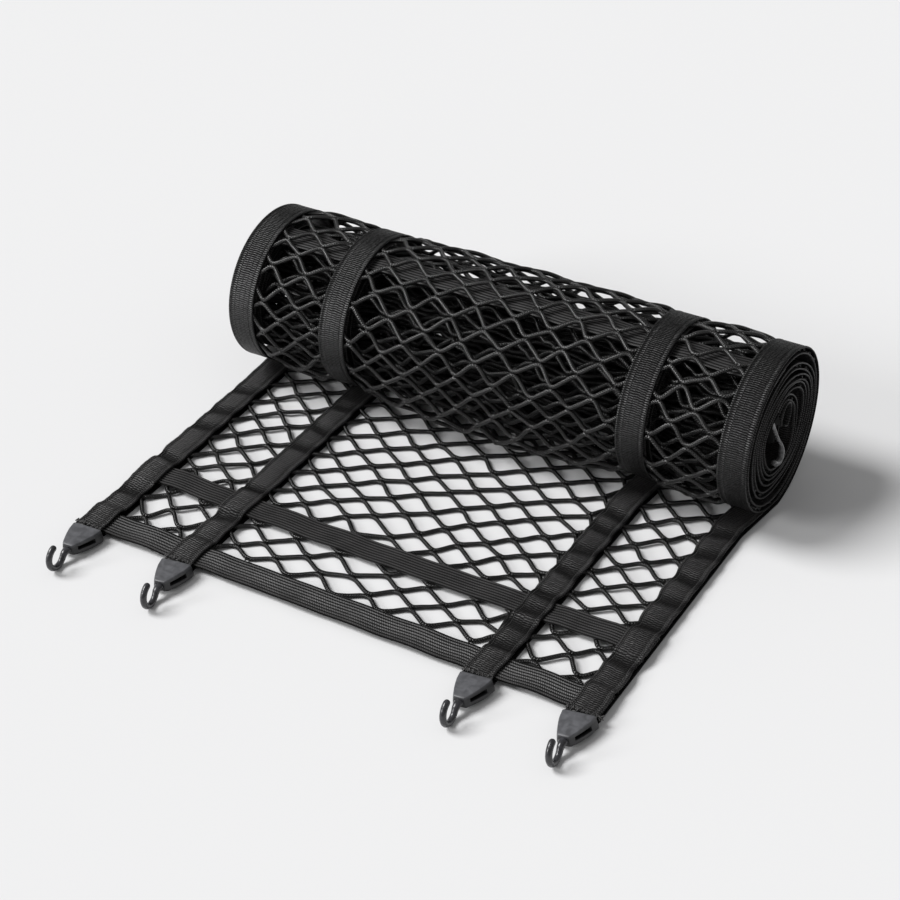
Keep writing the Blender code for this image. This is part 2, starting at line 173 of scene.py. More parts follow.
def four_near(items, index):
    """The item before an index, its own and the two after it, with the ends repeated."""
    return [items[min(max(index + step, 0), len(items) - 1)] for step in (-1, 0, 1, 2)]


def curve_between(before, here, there, after, share):
    """A smooth curve's place, a share of the way from here to there."""
    return here + 0.5 * share * (
        there - before
        + share * (2.0 * before - 5.0 * here + 4.0 * there - after)
        + share * share * (3.0 * (here - there) + after - before)
    )


def lengths_along(route):
    """The length from a route's start to each of its places."""
    lengths = [0.0]
    for before, here in zip(route, route[1:]):
        lengths.append(lengths[-1] + math.dist(before, here))
    return lengths


def spaced(start, end, step):
    """Even places from start to end."""
    count = max(1, round((end - start) / step))
    return [start + (end - start) * number / count for number in range(count + 1)]


def turn_radius(turn):
    """The outer face's distance from the roll's centre, smooth through the quarter turns."""
    spot = min(turn * 4.0, len(QUARTERS) - 1.001)
    index = int(spot)
    return curve_between(*four_near(QUARTERS, index), spot - index)


def widened(across, share):
    """The roll is a little wider than the flat end; share runs from 0 to 1 between them."""
    spread = ROLL_CENTRE_ACROSS + (across - NET_WIDTH / 2.0) * ROLL_SPREAD
    return across + share * (spread - across)


def unevenly_wound(turn):
    """How the inner turns bulge and give, since the roll was wound by hand."""
    swing = math.sin(turn * 17.3) + 0.6 * math.sin(turn * 31.0)
    return HAND_WOUND * smooth_step(1.1, 1.5, turn) * swing


def wound_point(across, turn, depth):
    """A place in the roll, in the row frame."""
    angle = FULL_TURN * turn
    radius = turn_radius(turn) - depth + unevenly_wound(turn)
    return Vector((
        widened(across, 1.0) - ORIGIN_ACROSS,
        LOOSE_LENGTH + radius * math.sin(angle) - ORIGIN_ALONG,
        ROLL_HEIGHT - radius * math.cos(angle),
    ))


def flat_point(across, along, depth):
    """A place on the flat end, in the row frame."""
    share = max(0.0, (along - SPREAD_START) / (LOOSE_LENGTH - SPREAD_START))
    return Vector((widened(across, share) - ORIGIN_ACROSS, along - ORIGIN_ALONG, depth))


# How much net has been wound at each hundredth of a turn.
WOUND = lengths_along([
    wound_point(0.0, step / PLACES_PER_TURN, CORD_MIDDLE_DEPTH) for step in range(500)
])


def length_at(turn):
    """The net's length from the front edge to a turn of the roll."""
    spot = turn * PLACES_PER_TURN
    step = min(int(spot), len(WOUND) - 2)
    return LOOSE_LENGTH + WOUND[step] + (spot - step) * (WOUND[step + 1] - WOUND[step])


def turn_at(along):
    """The turn of the roll that holds a place along the net."""
    wound = along - LOOSE_LENGTH
    step = min(max(bisect_right(WOUND, wound) - 1, 0), len(WOUND) - 2)
    return (step + (wound - WOUND[step]) / (WOUND[step + 1] - WOUND[step])) / PLACES_PER_TURN


def net_point(across, along, depth):
    """Where a place on the net lies, flat or wound."""
    if along <= LOOSE_LENGTH:
        return flat_point(across, along, depth)
    return wound_point(across, turn_at(along), depth)


# ---------------------------------------------------------------- meshes

class Surface:
    """Gathers points, faces and their UV places, and makes one named mesh object of them."""

    def __init__(self):
        self.points = []
        self.faces = []
        self.places = []

    def strip(self, rings, around, alongs):
        """Joins rings of points, each ring closed, and closes the two ends."""
        count = len(rings[0])
        first = len(self.points)
        for ring in rings:
            self.points.extend(ring)
        for row in range(len(rings) - 1):
            low, high = alongs[row], alongs[row + 1]
            for column in range(count):
                after = (column + 1) % count
                here = first + row * count
                there = here + count
                self.faces.append((here + column, here + after, there + after, there + column))
                left, right = around[column], around[column + 1]
                self.places.append(((left, low), (right, low), (right, high), (left, high)))
        for row, order in ((0, -1), (len(rings) - 1, 1)):
            corners = range(count)[::order]
            self.faces.append(tuple(first + row * count + corner for corner in corners))
            self.places.append(tuple((around[corner], alongs[row]) for corner in corners))

    def made(self, name, look, flip=False):
        """The object, smooth, at the origin."""
        order = -1 if flip else 1
        mesh = bpy.data.meshes.new(name)
        mesh.from_pydata(self.points, [], [face[::order] for face in self.faces])
        layer = mesh.uv_layers.new(name="cloth")
        flat = [value for place in self.places for corner in place[::order] for value in corner]
        layer.data.foreach_set("uv", flat)
        mesh.polygons.foreach_set("use_smooth", [True] * len(mesh.polygons))
        mesh.materials.append(look)
        mesh.update()
        piece = bpy.data.objects.new(name, mesh)
        bpy.context.scene.collection.objects.link(piece)
        return piece


def add_tube(surface, route, radii, sides):
    """A closed round cord along a route, carried without twisting, its length and girth as UV."""
    if not isinstance(radii, list):
        radii = [radii] * len(route)
    angles = [FULL_TURN * corner / sides for corner in range(sides + 1)]
    side = (route[1] - route[0]).normalized().orthogonal().normalized()
    rings = []
    for number, (here, radius) in enumerate(zip(route, radii)):
        before, _, after, _ = four_near(route, number)
        heading = (after - before).normalized()
        side = (side - heading * side.dot(heading)).normalized()
        other = heading.cross(side)
        rings.append([
            here + radius * (math.cos(angle) * side + math.sin(angle) * other)
            for angle in angles[:-1]
        ])
    surface.strip(rings, [max(radii) * angle for angle in angles], lengths_along(route))


def hand_over(piece, slot, node=None, **sheet):
    """Hides the frame's part that the piece stands for, if one is given, and hangs the piece under
    the root; slot and sheet are not used.
    """
    if node:
        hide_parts(node)
    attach(piece, "root")


# ---------------------------------------------------------------- shader maths

def maths(operation):
    """A method of Value that adds one Math node."""
    def method(self, *others):
        inputs = {f"n{number}": given for number, given in enumerate((self, *others))}
        return self.out(self.node("ShaderNodeMath", {"operation": operation}, **inputs))
    return method


class Value:
    """A shader socket that can be used in sums, so that a pattern reads as an expression."""

    def __init__(self, tree, socket=None):
        self.tree = tree
        self.socket = socket

    def node(self, kind, settings=None, **inputs):
        """Adds any node: its settings first, then the values or links of its sockets."""
        made = self.tree.nodes.new(kind)
        for name, setting in (settings or {}).items():
            setattr(made, name, setting)
        for name, given in inputs.items():
            numbered = name[0] == "n" and name[1:].isdigit()
            socket = made.inputs[int(name[1:]) if numbered else name.replace("_", " ")]
            if isinstance(given, Value):
                self.tree.links.new(given.socket, socket)
            else:
                socket.default_value = given
        return made

    def out(self, made, name=0):
        return Value(self.tree, made.outputs[name])

    __add__ = __radd__ = maths("ADD")
    __mul__ = __rmul__ = maths("MULTIPLY")
    __sub__ = maths("SUBTRACT")
    __truediv__ = maths("DIVIDE")
    power = maths("POWER")
    sine = maths("SINE")
    size = maths("ABSOLUTE")
    fraction = maths("FRACT")
    floor = maths("FLOOR")
    larger = maths("MAXIMUM")

    def __rsub__(self, other):
        return self * -1.0 + other

    def ridge(self):
        """0 in the middle of each whole step and 1 at its edges."""
        return (self.fraction() - 0.5).size() * 2.0

    def clamped(self, low, high, to_low=0.0, to_high=1.0):
        return self.out(self.node(
            "ShaderNodeMapRange", {"clamp": True},
            n0=self, n1=low, n2=high, n3=to_low, n4=to_high,
        ))


class Look:
    """A Principled material under way."""

    def __init__(self, name, colour, roughness):
        self.material = bpy.data.materials.new(name)
        self.material.use_nodes = True
        self.tree = self.material.node_tree
        self.shader = self.tree.nodes["Principled BSDF"]
        start = Value(self.tree)
        self.node, self.out = start.node, start.out
        self.colour = colour
        self.constant("Base Color", (*colour, 1.0))
        self.constant("Roughness", roughness)

    def constant(self, name, given):
        self.shader.inputs[name].default_value = given

    def link(self, name, value):
        self.tree.links.new(value.socket, self.shader.inputs[name])

    def uv(self):
        """The piece's own UV, in millimetres, as two values."""
        uv = self.out(self.node("ShaderNodeUVMap", {"uv_map": "cloth"}))
        split = self.node("ShaderNodeSeparateXYZ", Vector=uv)
        return self.out(split, 0) * MM_PER_M, self.out(split, 1) * MM_PER_M

    def noise(self, scale, detail, distortion=0.0):
        """Noise on Object coordinates."""
        place = self.out(self.node("ShaderNodeTexCoord"), "Object")
        return self.out(self.node(
            "ShaderNodeTexNoise",
            Vector=place, Scale=scale, Detail=detail, Distortion=distortion,
        ))

    def attribute(self, name):
        """One of the piece's own attributes, 0 on a piece without it."""
        return self.out(self.node("ShaderNodeAttribute", {"attribute_name": name}), "Fac")

    def tint(self, share, dark, light):
        """The base colour, from dark times the look's own at share 0 to light times it at 1."""
        dark, light = ((*shaded(self.colour, factor), 1.0) for factor in (dark, light))
        made = self.node("ShaderNodeMix", {"data_type": "RGBA"}, n0=share, n6=dark, n7=light)
        self.link("Base Color", self.out(made, 2))

    def painted_groove_shade(self, mask, colour):
        """Painted shade: a dull dark shader in the grooves, where the mask is 0, the main one where
        it is 1.
        """
        dull = self.node(
            "ShaderNodeBsdfPrincipled",
            Base_Color=(*colour, 1.0), Roughness=0.9, Specular_IOR_Level=0.08,
        )
        main = self.out(self.shader)
        both = self.node("ShaderNodeMixShader", n0=mask, n1=self.out(dull), n2=main)
        surface = self.tree.nodes["Material Output"].inputs["Surface"]
        self.tree.links.new(both.outputs[0], surface)

    def relief(self, height, distance):
        """A bump from a height between 0 and 1 that stands for distance."""
        made = self.node("ShaderNodeBump", Strength=1.0, Distance=distance, Height=height)
        self.link("Normal", self.out(made))


def shaded(colour, factor):
    """A colour made lighter or darker."""
    return tuple(channel * factor for channel in colour)


def chosen(name, factor=1.0):
    """One of the colours that a user sets, made lighter or darker."""
    return shaded(getattr(bpy.context.scene.cargo_net_colours, name), factor)


# Pitches of the patterns, in millimetres round or across a piece and along it.
STRAND_PITCH = (2.985, 2.1)
KNIT_PITCH = (3.0, 1.6)


def cord_look(name, colour, shine):
    """Braided elastic cord: crossing strands with a shine on their backs, and painted shade in the
    gaps between them.
    """
    look = Look(name, colour, 0.28)
    around, along = (way * (FULL_TURN / pitch) for way, pitch in zip(look.uv(), STRAND_PITCH))
    strands = (around + along).sine().larger((around - along).sine() * 0.5)
    fuzz = look.noise(900.0, 2.0)
    look.relief(strands * 0.42 + fuzz * 0.16 + 0.42, 0.00036)
    look.tint(look.noise(45.0, 2.0).clamped(0.3, 0.7), 0.6, 1.6)
    look.link("Roughness", strands.clamped(0.0, 1.0, 0.36, 0.24))
    look.constant("Specular IOR Level", shine)
    # Painted shade: the gaps between the strands get the dull shader at 0.3 of the cord's colour.
    look.painted_groove_shade((strands + fuzz * 0.6 - 0.3).clamped(-0.12, 0.50), shaded(colour, 0.3))
    return look.material


def webbing_look(name, colour, rib, float_width, shine, depth):
    """Woven webbing: short floats across the strap, each column shifted from the next."""
    look = Look(name, colour, 0.42)
    across, along = look.uv()
    column = across / float_width
    shift = (column.floor() * 2.399).sine() * 0.5
    rise = ((along + look.noise(160.0, 2.0) * 1.1) / rib + shift).ridge()
    crown = (1.0 - rise.power(1.8)) * (1.0 - column.ridge().power(8.0) * 0.30)
    fine = look.noise(650.0, 3.0)
    look.relief(crown * 0.75 + fine * 0.25, 0.00075)
    # The crease attribute holds painted shade: in the face straps' creases, and towards the roll's
    # top and bottom on the back straps. It darkens the colour and widens the dull grooves.
    crease = look.attribute("crease")
    cloud = look.noise(55.0, 3.0) + fine * 0.8 - 0.4
    look.tint((cloud - crease * 0.55).clamped(0.20, 0.75), 0.5, 1.7)
    look.link("Roughness", crown.clamped(0.0, 1.0, 0.50, 0.34))
    look.constant("Specular IOR Level", shine)
    # Painted shade: the dull dark shader fills the grooves between the floats; depth is the largest
    # share of the main shader that shows.
    mask = (crown + fine * 1.2 - 0.60 - crease * 0.45).clamped(0.10, 0.80, 0.0, depth)
    look.painted_groove_shade(mask, shaded(colour, 0.2))
    return look.material


def elastic_look(name, colour, rib_girth):
    """Ribbed elastic: painted shade in the grooves between the ribs, and small slanted strokes
    along each.
    """
    look = Look(name, colour, 0.40)
    girth, along = look.uv()
    crown = 1.0 - (girth / rib_girth).ridge().power(1.8)
    slant = girth * (FULL_TURN / KNIT_PITCH[0]) + along * (FULL_TURN / KNIT_PITCH[1])
    strokes = slant.sine() * 0.5 + 0.5
    fine = look.noise(1400.0, 2.0)
    look.relief((strokes * 0.4 + fine * 0.2 + 0.4) * crown, 0.00045)
    look.tint(look.noise(60.0, 2.0).clamped(0.3, 0.7), 0.7, 1.5)
    look.constant("Specular IOR Level", 0.5)
    # Painted shade: the grooves between the ribs get the dull shader at 0.08 of the colour.
    mask = (crown * (strokes * 0.22 + fine * 0.4 + 0.58)).clamped(0.40, 0.80)
    look.painted_groove_shade(mask, shaded(colour, 0.08))
    return look.material


def plastic_look(name, colour, roughness, shine=0.5):
    """Moulded plastic: mottled bloom, painted light on the top and painted shade down the sides,
    and painted black shade in the slots.
    """
    look = Look(name, colour, roughness)
    look.constant("Specular IOR Level", shine)
    bloom = look.noise(150.0, 5.0, distortion=0.5)
    look.relief(look.noise(2600.0, 2.0) * 0.6 + bloom * 0.4, 0.00007)
    # Painted light on the top and painted shade down the sides, mottled by the bloom.
    look.tint(look.attribute("worn") * (bloom.clamped(0.35, 0.68) * 0.5 + 0.5), 0.22, 1.30)
    look.link("Roughness", bloom.clamped(0.3, 0.7, roughness - 0.05, roughness + 0.12))
    # Painted shade: near black with the dull shader inside the slots.
    look.painted_groove_shade(1.0 - look.attribute("hollow"), (0.002, 0.002, 0.002))
    return look.material


def wire_look(name, colour):
    """Hard glossy coating over the bent wire, a little rubbed."""
    look = Look(name, colour, 0.30)
    rub = look.noise(260.0, 3.0)
    look.relief(rub, 0.00003)
    look.tint(rub.clamped(0.35, 0.75), 0.6, 1.8)
    look.link("Roughness", rub.clamped(0.3, 0.7, 0.20, 0.34))
    look.constant("Coat Weight", 0.25)
    look.constant("Coat Roughness", 0.16)
    return look.material


def thread_look(name, colour):
    """Twisted sewing thread."""
    look = Look(name, colour, 0.55)
    twist = look.noise(1200.0, 2.0)
    look.relief(twist, 0.00010)
    look.tint(twist.clamped(0.3, 0.7), 0.7, 1.5)
    return look.material


def floor_look(name, colour):
    """Plain pale paper."""
    look = Look(name, colour, 0.9)
    look.tint(look.noise(1.5, 1.0).clamped(0.3, 0.7), 0.995, 1.0)
    look.constant("Specular IOR Level", 0.1)
    return look.material


# How each cloth material is made: its look, the chosen colour and how light that is taken,
# then a cord's shine, or a webbing's rib and float width in millimetres, shine and depth.
CLOTHS = {
    # The cord is made three times from one colour. The copies taken at 0.5 and 0.4, with less
    # shine, are painted shade for the turns inside the roll; the flat end's cords use the 0.5 copy
    # too.
    "braided_cord": (cord_look, "cord", 1.0, 0.84),
    "dull_cord": (cord_look, "cord", 0.5, 0.50),
    "wound_cord": (cord_look, "cord", 0.4, 0.15),
    "face_webbing": (webbing_look, "webbing", 1.0, 2.1, 3.3, 0.40, 0.82),
    "back_webbing": (webbing_look, "webbing", 0.26, 1.85, 4.6, 0.47, 1.0),
    "sewing_thread": (thread_look, "thread", 1.0),
}


def cloth(name):
    """The named cloth material, made once."""
    maker, colour, factor, *rest = CLOTHS[name]
    return bpy.data.materials.get(name) or maker(name, chosen(colour, factor), *rest)


# ---------------------------------------------------------------- settings a user changes

def length_setting(name, description, default, low, high):
    return bpy.props.FloatProperty(
        name=name, description=description, default=default, min=low, max=high,
        unit="LENGTH", precision=4,
    )


def colour_setting(name, description, default):
    return bpy.props.FloatVectorProperty(
        name=name, description=description, default=default, min=0.0, max=1.0,
        subtype="COLOR", size=3,
    )


class CargoNetSizes(bpy.types.PropertyGroup):
    """Sizes of the net's cord, weave and stitches."""

    cord_diameter: length_setting(
        "Cord", "Thickness of the elastic cord", 0.0038, 0.001, 0.006)
    joint_spread: length_setting(
        "Joint spread", "How far the two cords of a joint lie apart", 0.0040, 0.002, 0.008)
    unevenness: length_setting(
        "Unevenness", "How far a joint strays from its place", 0.0009, 0.0, 0.003)
    stitch_length: length_setting(
        "Stitch", "Length of one stitch along the straps", 0.0026, 0.001, 0.006)


class CargoNetColours(bpy.types.PropertyGroup):
    """Colours of the net's pieces."""

    cord: colour_setting("Cord", "Colour of the braided cord", (0.0105, 0.0100, 0.0100))
    webbing: colour_setting("Webbing", "Colour of the straps", (0.0260, 0.0250, 0.0252))
    elastic: colour_setting("Elastic", "Colour of the ribbed bands", (0.0300, 0.0291, 0.0293))
    thread: colour_setting("Thread", "Colour of the sewing thread", (0.035, 0.034, 0.034))
    hook_body: colour_setting(
        "Hook body", "Colour of the moulded hook bodies", (0.082, 0.083, 0.090))
    hook_wire: colour_setting("Hook wire", "Colour of the bent hooks", (0.020, 0.020, 0.023))
    far_hook: colour_setting(
        "Far hooks", "Colour of the hooks inside the roll", (0.095, 0.095, 0.098))
    floor: colour_setting("Floor", "Colour of the floor", (0.752, 0.752, 0.757))


# ---------------------------------------------------------------- the cords of the net

# Numbered columns and rows of joints, and where they lie: each bay has rows of its own.
FLAT_COLUMNS = ((-1, -0.0145), (2, 0.0395), (5, 0.0935), (8, 0.1495), (19, 0.3675), (26, 0.5000))
LEFT_ROWS = (
    (2, 0.0370), (4, 0.0720), (6, 0.1115), (7, 0.1245), (10, 0.1695), (12, 0.2005),
    (14, 0.2295), (18, 0.2880),
)
CENTRE_ROWS = ((0, 0.0285), (1, 0.0440), (4, 0.0865), (10, 0.1727), (14, 0.2295), (18, 0.2880))
RIGHT_ROWS = (
    (2, 0.0360), (4, 0.0690), (6, 0.1055), (8, 0.1347), (10, 0.1641), (12, 0.1970),
    (14, 0.2293), (18, 0.2900),
)
# How far the right bay's columns have been pulled aside, along the net.
RIGHT_PULL = (
    (0.070, -0.0090), (0.105, -0.0010), (0.135, -0.0030), (0.165, -0.0050), (0.200, -0.0070),
    (0.230, -0.0082), (0.300, -0.0082),
)
ROLL_COLUMNS = ((0, -0.0001), (28, 0.4919))
SECOND_TURN_COLUMNS = ((0, 0.0059), (28, 0.4979))
ROLL_ROWS = 30
ROLL_ROW_TURN = 0.0348
ROLL_FIRST_ROW_TURN = 0.5528 - 16 * ROLL_ROW_TURN
ROLL_FIT = {"rounding": 0.22, "spread": 0.85, "girth": 1.07}
INNER_ROW_STEP = 0.0057
LOWEST_CORD = 0.0021
LOWEST_FLAT_CORD = 0.0020
FREE_CORD_DEPTH = 0.0021
CORD_MARGIN = 0.0015
LASHING_MARGIN = 0.004
# How much of each stretch's outline is cord. The cords inside the roll lie doubled up.
FLAT_SHARE, TURN_SHARE, INNER_SHARE = 0.33, 0.37, 0.80
# How far the roll's net hangs slack between each pair of straps, and at which part of a turn.
BAY_SLACK = (0.0035, 0.0105, 0.0035)
SLACK_TURN, SLACK_REACH = 0.875, 0.110
SIDE_BAY_MIDDLES = (0.0592, 0.4322)
LASHING_GIRTHS = (0.25, 0.48, 0.55, 0.58, 0.55, 0.48, 0.25)


def between(table, number):
    """A place in a table of numbered places, even between its rows."""
    for (low, start), (high, end) in zip(table, table[1:]):
        if number <= high or (high, end) == table[-1]:
            return start + (end - start) * (number - low) / (high - low)


def leg_rise(share, rounding):
    """The cord's climb from one joint to the next: level at both, straight in the middle."""
    if share > 0.5:
        return 1.0 - leg_rise(1.0 - share, rounding)
    if share < rounding:
        return share * share / (2.0 * rounding * (1.0 - rounding))
    return (share - rounding / 2.0) / (1.0 - rounding)


def in_side_bay(across):
    """1 in the middle of the narrow bays, 0 at the straps and in the wide bay."""
    return max(bump(across, middle, 0.030) for middle in SIDE_BAY_MIDDLES)


def near_strap(across):
    """1 under a strap and 0 well away from all of them."""
    half = WEBBING_WIDTH / 2.0
    nearest = min(abs(across - left - half) for left in STRAP_LEFT_EDGES)
    return 1.0 - smooth_step(half, half + 0.012, nearest)


def near_band(along):
    """1 under a flat band and 0 well away from both."""
    nearest = min(abs(along - band.start - band.width / 2.0) for band in FLAT_BANDS)
    return 1.0 - smooth_step(0.011, 0.024, nearest)


def flat_joint(column, row):
    """Where a joint of the flat end lies before it strays."""
    across = between(FLAT_COLUMNS, column)
    if column <= 5:
        return across, between(LEFT_ROWS, row)
    if column >= 20:
        along = between(RIGHT_ROWS, row)
        return across + between(RIGHT_PULL, max(along, 0.070)), along
    along = between(CENTRE_ROWS, row)
    # The front of the wide bay was drawn to the right when the second band was sewn on.
    middle = 0.1325 - 0.40 * max(0.0, across - 0.250)
    pulled = smooth_step(0.195, 0.250, across) * (1.0 - smooth_step(0.360, 0.385, across))
    pulled *= 1.0 - smooth_step(middle - 0.042, middle + 0.042, along)
    climb = -0.0060 + 0.0080 * min(1.0, max(0.0, (across - 0.230) / 0.110))
    return across + 0.0118 * pulled, along + climb * pulled


class CordNet:
    """One stretch of netting: zigzag cords from edge to edge, joined where their bends meet."""

    def __init__(self, joint_at, columns, rows, span, seed, sides, steps, stray, place_of,
                 rounding=0.28, spread=1.0, girth=1.0):
        sizes = bpy.context.scene.cargo_net_sizes
        self.joint_at = joint_at
        self.columns = columns
        self.rows = rows
        self.span = span
        self.chance = random.Random(seed)
        self.sides = sides
        self.steps = steps
        self.unevenness = sizes.unevenness * stray
        self.place_of = place_of
        self.rounding = rounding
        self.spread = sizes.joint_spread * spread
        self.radius = sizes.cord_diameter / 2.0 * girth
        self.strays = {}

    def joint(self, column, row):
        """A joint's place across and along, a little off the even one, and its turn."""
        key = (column, row)
        if key not in self.strays:
            self.strays[key] = tuple(self.chance.gauss(0.0, self.unevenness) for _ in range(3))
        stray_across, stray_along, turned = self.strays[key]
        across, along = self.joint_at(column, row)
        return across + stray_across, along + stray_along, turned

    def bend(self, column, row):
        """Where a row's cord turns at a column, and 1 or -1 for the side of the joint it is on."""
        odd = (column + row) % 2
        across, along, _ = self.joint(column, row + odd)
        side = 1.0 - 2.0 * odd
        return across, along + self.spread / 2.0 * side, side

    def zigzag(self, row):
        """The route of the cord between a row of joints and the next, as places on the net."""
        route = []
        for column in range(*self.columns):
            start, start_along, side = self.bend(column, row)
            end, end_along, _ = self.bend(column + 1, row)
            wave = self.chance.gauss(0.0, self.unevenness * (0.5 if side > 0.0 else 0.3))
            for step in range(self.steps):
                share = step / self.steps
                along = start_along + leg_rise(share, self.rounding) * (end_along - start_along)
                along += wave * math.sin(FULL_TURN * share)
                height = -side * math.sin(math.pi * share)
                route.append((start + share * (end - start), along, height))
        route.append((*self.bend(self.columns[1], row)[:2], 0.0))
        return route

    def holds(self, across, along, margin):
        """Whether a place lies on the stretch."""
        low, high = self.span
        return margin <= across <= NET_WIDTH - margin and low <= along <= high

    def add_cord(self, surface, row):
        """The cord of a row, in the runs of it that lie on the stretch."""
        run = []
        for spot in (*self.zigzag(row), None):
            if spot and self.holds(*spot[:2], CORD_MARGIN):
                run.append(self.place_of(*spot))
                continue
            if len(run) > 2:
                add_tube(surface, run, self.radius, self.sides)
            run = []

    def add_lashing(self, surface, column, row):
        """The short lashing that holds the two bends of a joint together."""
        across, along, turned = self.joint(column, row)
        if not self.holds(across, along, LASHING_MARGIN):
            return
        reach = self.spread * 0.62
        route = []
        for lean in spaced(-1.0, 1.0, 1.0 / 3.0):
            route.append(self.place_of(
                across + turned * 0.6 + lean * 0.0006, along + lean * reach,
                1.35 * math.cos(lean * math.pi / 2.0),
            ))
        add_tube(surface, route, [self.radius * girth for girth in LASHING_GIRTHS], 6)

    def made(self, name, look, node, length, share, held, rests_on):
        """The stretch as one piece; share is how much of its outline is cord."""
        surface = Surface()
        for row in range(self.rows):
            self.add_cord(surface, row)
        # The stretches that stand for a solid are the ones that show, so they get lashings.
        if node:
            for row in range(self.rows + 1):
                for column in range(self.columns[0], self.columns[1] + 1):
                    if (column + row) % 2 == 0:
                        self.add_lashing(surface, column, row)
        hand_over(
            surface.made(name, cloth(look), flip=True), "net_cord", node,
            flat=(NET_WIDTH, length), held=held, rests_on=[rests_on],
            area=share * NET_WIDTH * length,
        )


def flat_cord_place(across, along, height):
    """A cord's place on the flat end: close to the ground, higher in the narrow bays."""
    calm = max(near_strap(across), near_band(along))
    free = FREE_CORD_DEPTH * (1.0 + in_side_bay(across)) + 0.0005 * height
    free += 0.0003 * math.sin(across * 61.0 + along * 43.0)
    depth = CORD_MIDDLE_DEPTH * calm + free * (1.0 - calm)
    return flat_point(across, along, max(depth, LOWEST_FLAT_CORD))


def droop(across, turn):
    """How far the slack net hangs out at the roll's lower front, most in the wide bay."""
    slack = 0.0
    for left, end, most in zip(STRAP_LEFT_EDGES, STRAP_LEFT_EDGES[1:], BAY_SLACK):
        start = left + WEBBING_WIDTH
        if start < across < end:
            slack = most * math.sin(math.pi * (across - start) / (end - start)) ** 0.7
    return slack * bump(turn % 1.0, SLACK_TURN, SLACK_REACH)


# How the cords of a turn lie between the straps: their depth, its waves as (height, across,
# along), how far the legs rise and their share of the droop. The inner turns crowd.
Lay = namedtuple("Lay", "depth waves rise droop")
OUTER_LAY = Lay(0.0010, ((0.0009, 97.0, 51.0),), 0.0006, 1.0)
SECOND_LAY = Lay(0.0008, ((0.0016, 67.0, 41.0),), 0.0008, 0.8)
INNER_LAY = Lay(
    CORD_MIDDLE_DEPTH + 0.0012, ((0.0030, 53.0, 29.0), (0.0014, 171.0, -83.0)), 0.0007, 0.6)


def wound_net(table, first, rows, span, seed, sides, steps, stray, lay, **fit):
    """The cords of a stretch of the roll: its columns from the first on and its rows' places."""
    def joint_at(column, row):
        return between(table, column), rows[row]

    def place_of(across, along, height):
        calm = near_strap(across)
        free = lay.depth - height * lay.rise
        free += sum(most * math.sin(across * over + along * on) for most, over, on in lay.waves)
        turn = turn_at(along)
        depth = CORD_MIDDLE_DEPTH * calm + free * (1.0 - calm)
        place = wound_point(across, turn, depth - lay.droop * droop(across, turn))
        place.z = max(place.z, LOWEST_CORD)
        return place

    columns = first, table[-1][0]
    return CordNet(
        joint_at, columns, len(rows) - 1, span, seed, sides, steps, stray, place_of, **fit)


class CARGO_NET_OT_flat_cords(bpy.types.Operator):
    """Lays the zigzag cords of the net's flat end between its straps."""

    bl_idname = "cargo_net.flat_cords"
    bl_label = "Flat cords"

    def execute(self, context):
        net = CordNet(
            flat_joint, (-1, 26), 20, (0.004, LOOSE_LENGTH), seed=11, sides=8, steps=9,
            stray=1.0, place_of=flat_cord_place,
        )
        net.made(
            "flat_cord_net", "dull_cord", "net_loose_end", LOOSE_LENGTH, FLAT_SHARE, "laid",
            "floor",
        )
        return {"FINISHED"}


class CARGO_NET_OT_wound_cords(bpy.types.Operator):
    """Winds the cords of the outer turn and of the turns inside it."""

    bl_idname = "cargo_net.wound_cords"
    bl_label = "Wound cords"

    def execute(self, context):
        turns = [ROLL_FIRST_ROW_TURN + number * ROLL_ROW_TURN for number in range(ROLL_ROWS)]
        outer_rows = [length_at(max(turn, 0.0)) for turn in turns]
        # The second turn lies close under the first, nearly joint on joint.
        second_rows = [length_at(turn + 1.0) for turn in turns[1:]]
        outer_end = length_at(1.0)
        outer_cord_end = outer_end + 0.012
        second_end = second_rows[-2]
        net_end = length_at(NET_END_TURN) - 0.004
        count = int((net_end - second_end) / INNER_ROW_STEP) + 2
        inner_rows = [second_end + number * INNER_ROW_STEP for number in range(count)]
        wound_net(
            ROLL_COLUMNS, 0, outer_rows, (LOOSE_LENGTH + 0.001, outer_cord_end), seed=23, sides=8,
            steps=10, stray=1.1, lay=OUTER_LAY, **ROLL_FIT,
        ).made(
            "outer_cord_net", "braided_cord", "net_roll", outer_end - LOOSE_LENGTH, TURN_SHARE,
            "folded", "floor",
        )
        # The turns inside the outer one take the darker copies of the cord: painted shade.
        wound_net(
            SECOND_TURN_COLUMNS, -1, second_rows, (outer_cord_end, second_end), seed=29, sides=7,
            steps=8, stray=1.6, lay=SECOND_LAY, **ROLL_FIT,
        ).made(
            "second_cord_net", "dull_cord", None, second_end - outer_end, TURN_SHARE,
            "folded", "outer_cord_net",
        )
        wound_net(
            ROLL_COLUMNS, 0, inner_rows, (second_end, net_end), seed=31, sides=5, steps=4,
            stray=2.7, lay=INNER_LAY, girth=1.15,
        ).made(
            "inner_cord_net", "wound_cord", None, net_end - second_end, INNER_SHARE,
            "folded", "second_cord_net",
        )
        return {"FINISHED"}


# ---------------------------------------------------------------- straps and bands

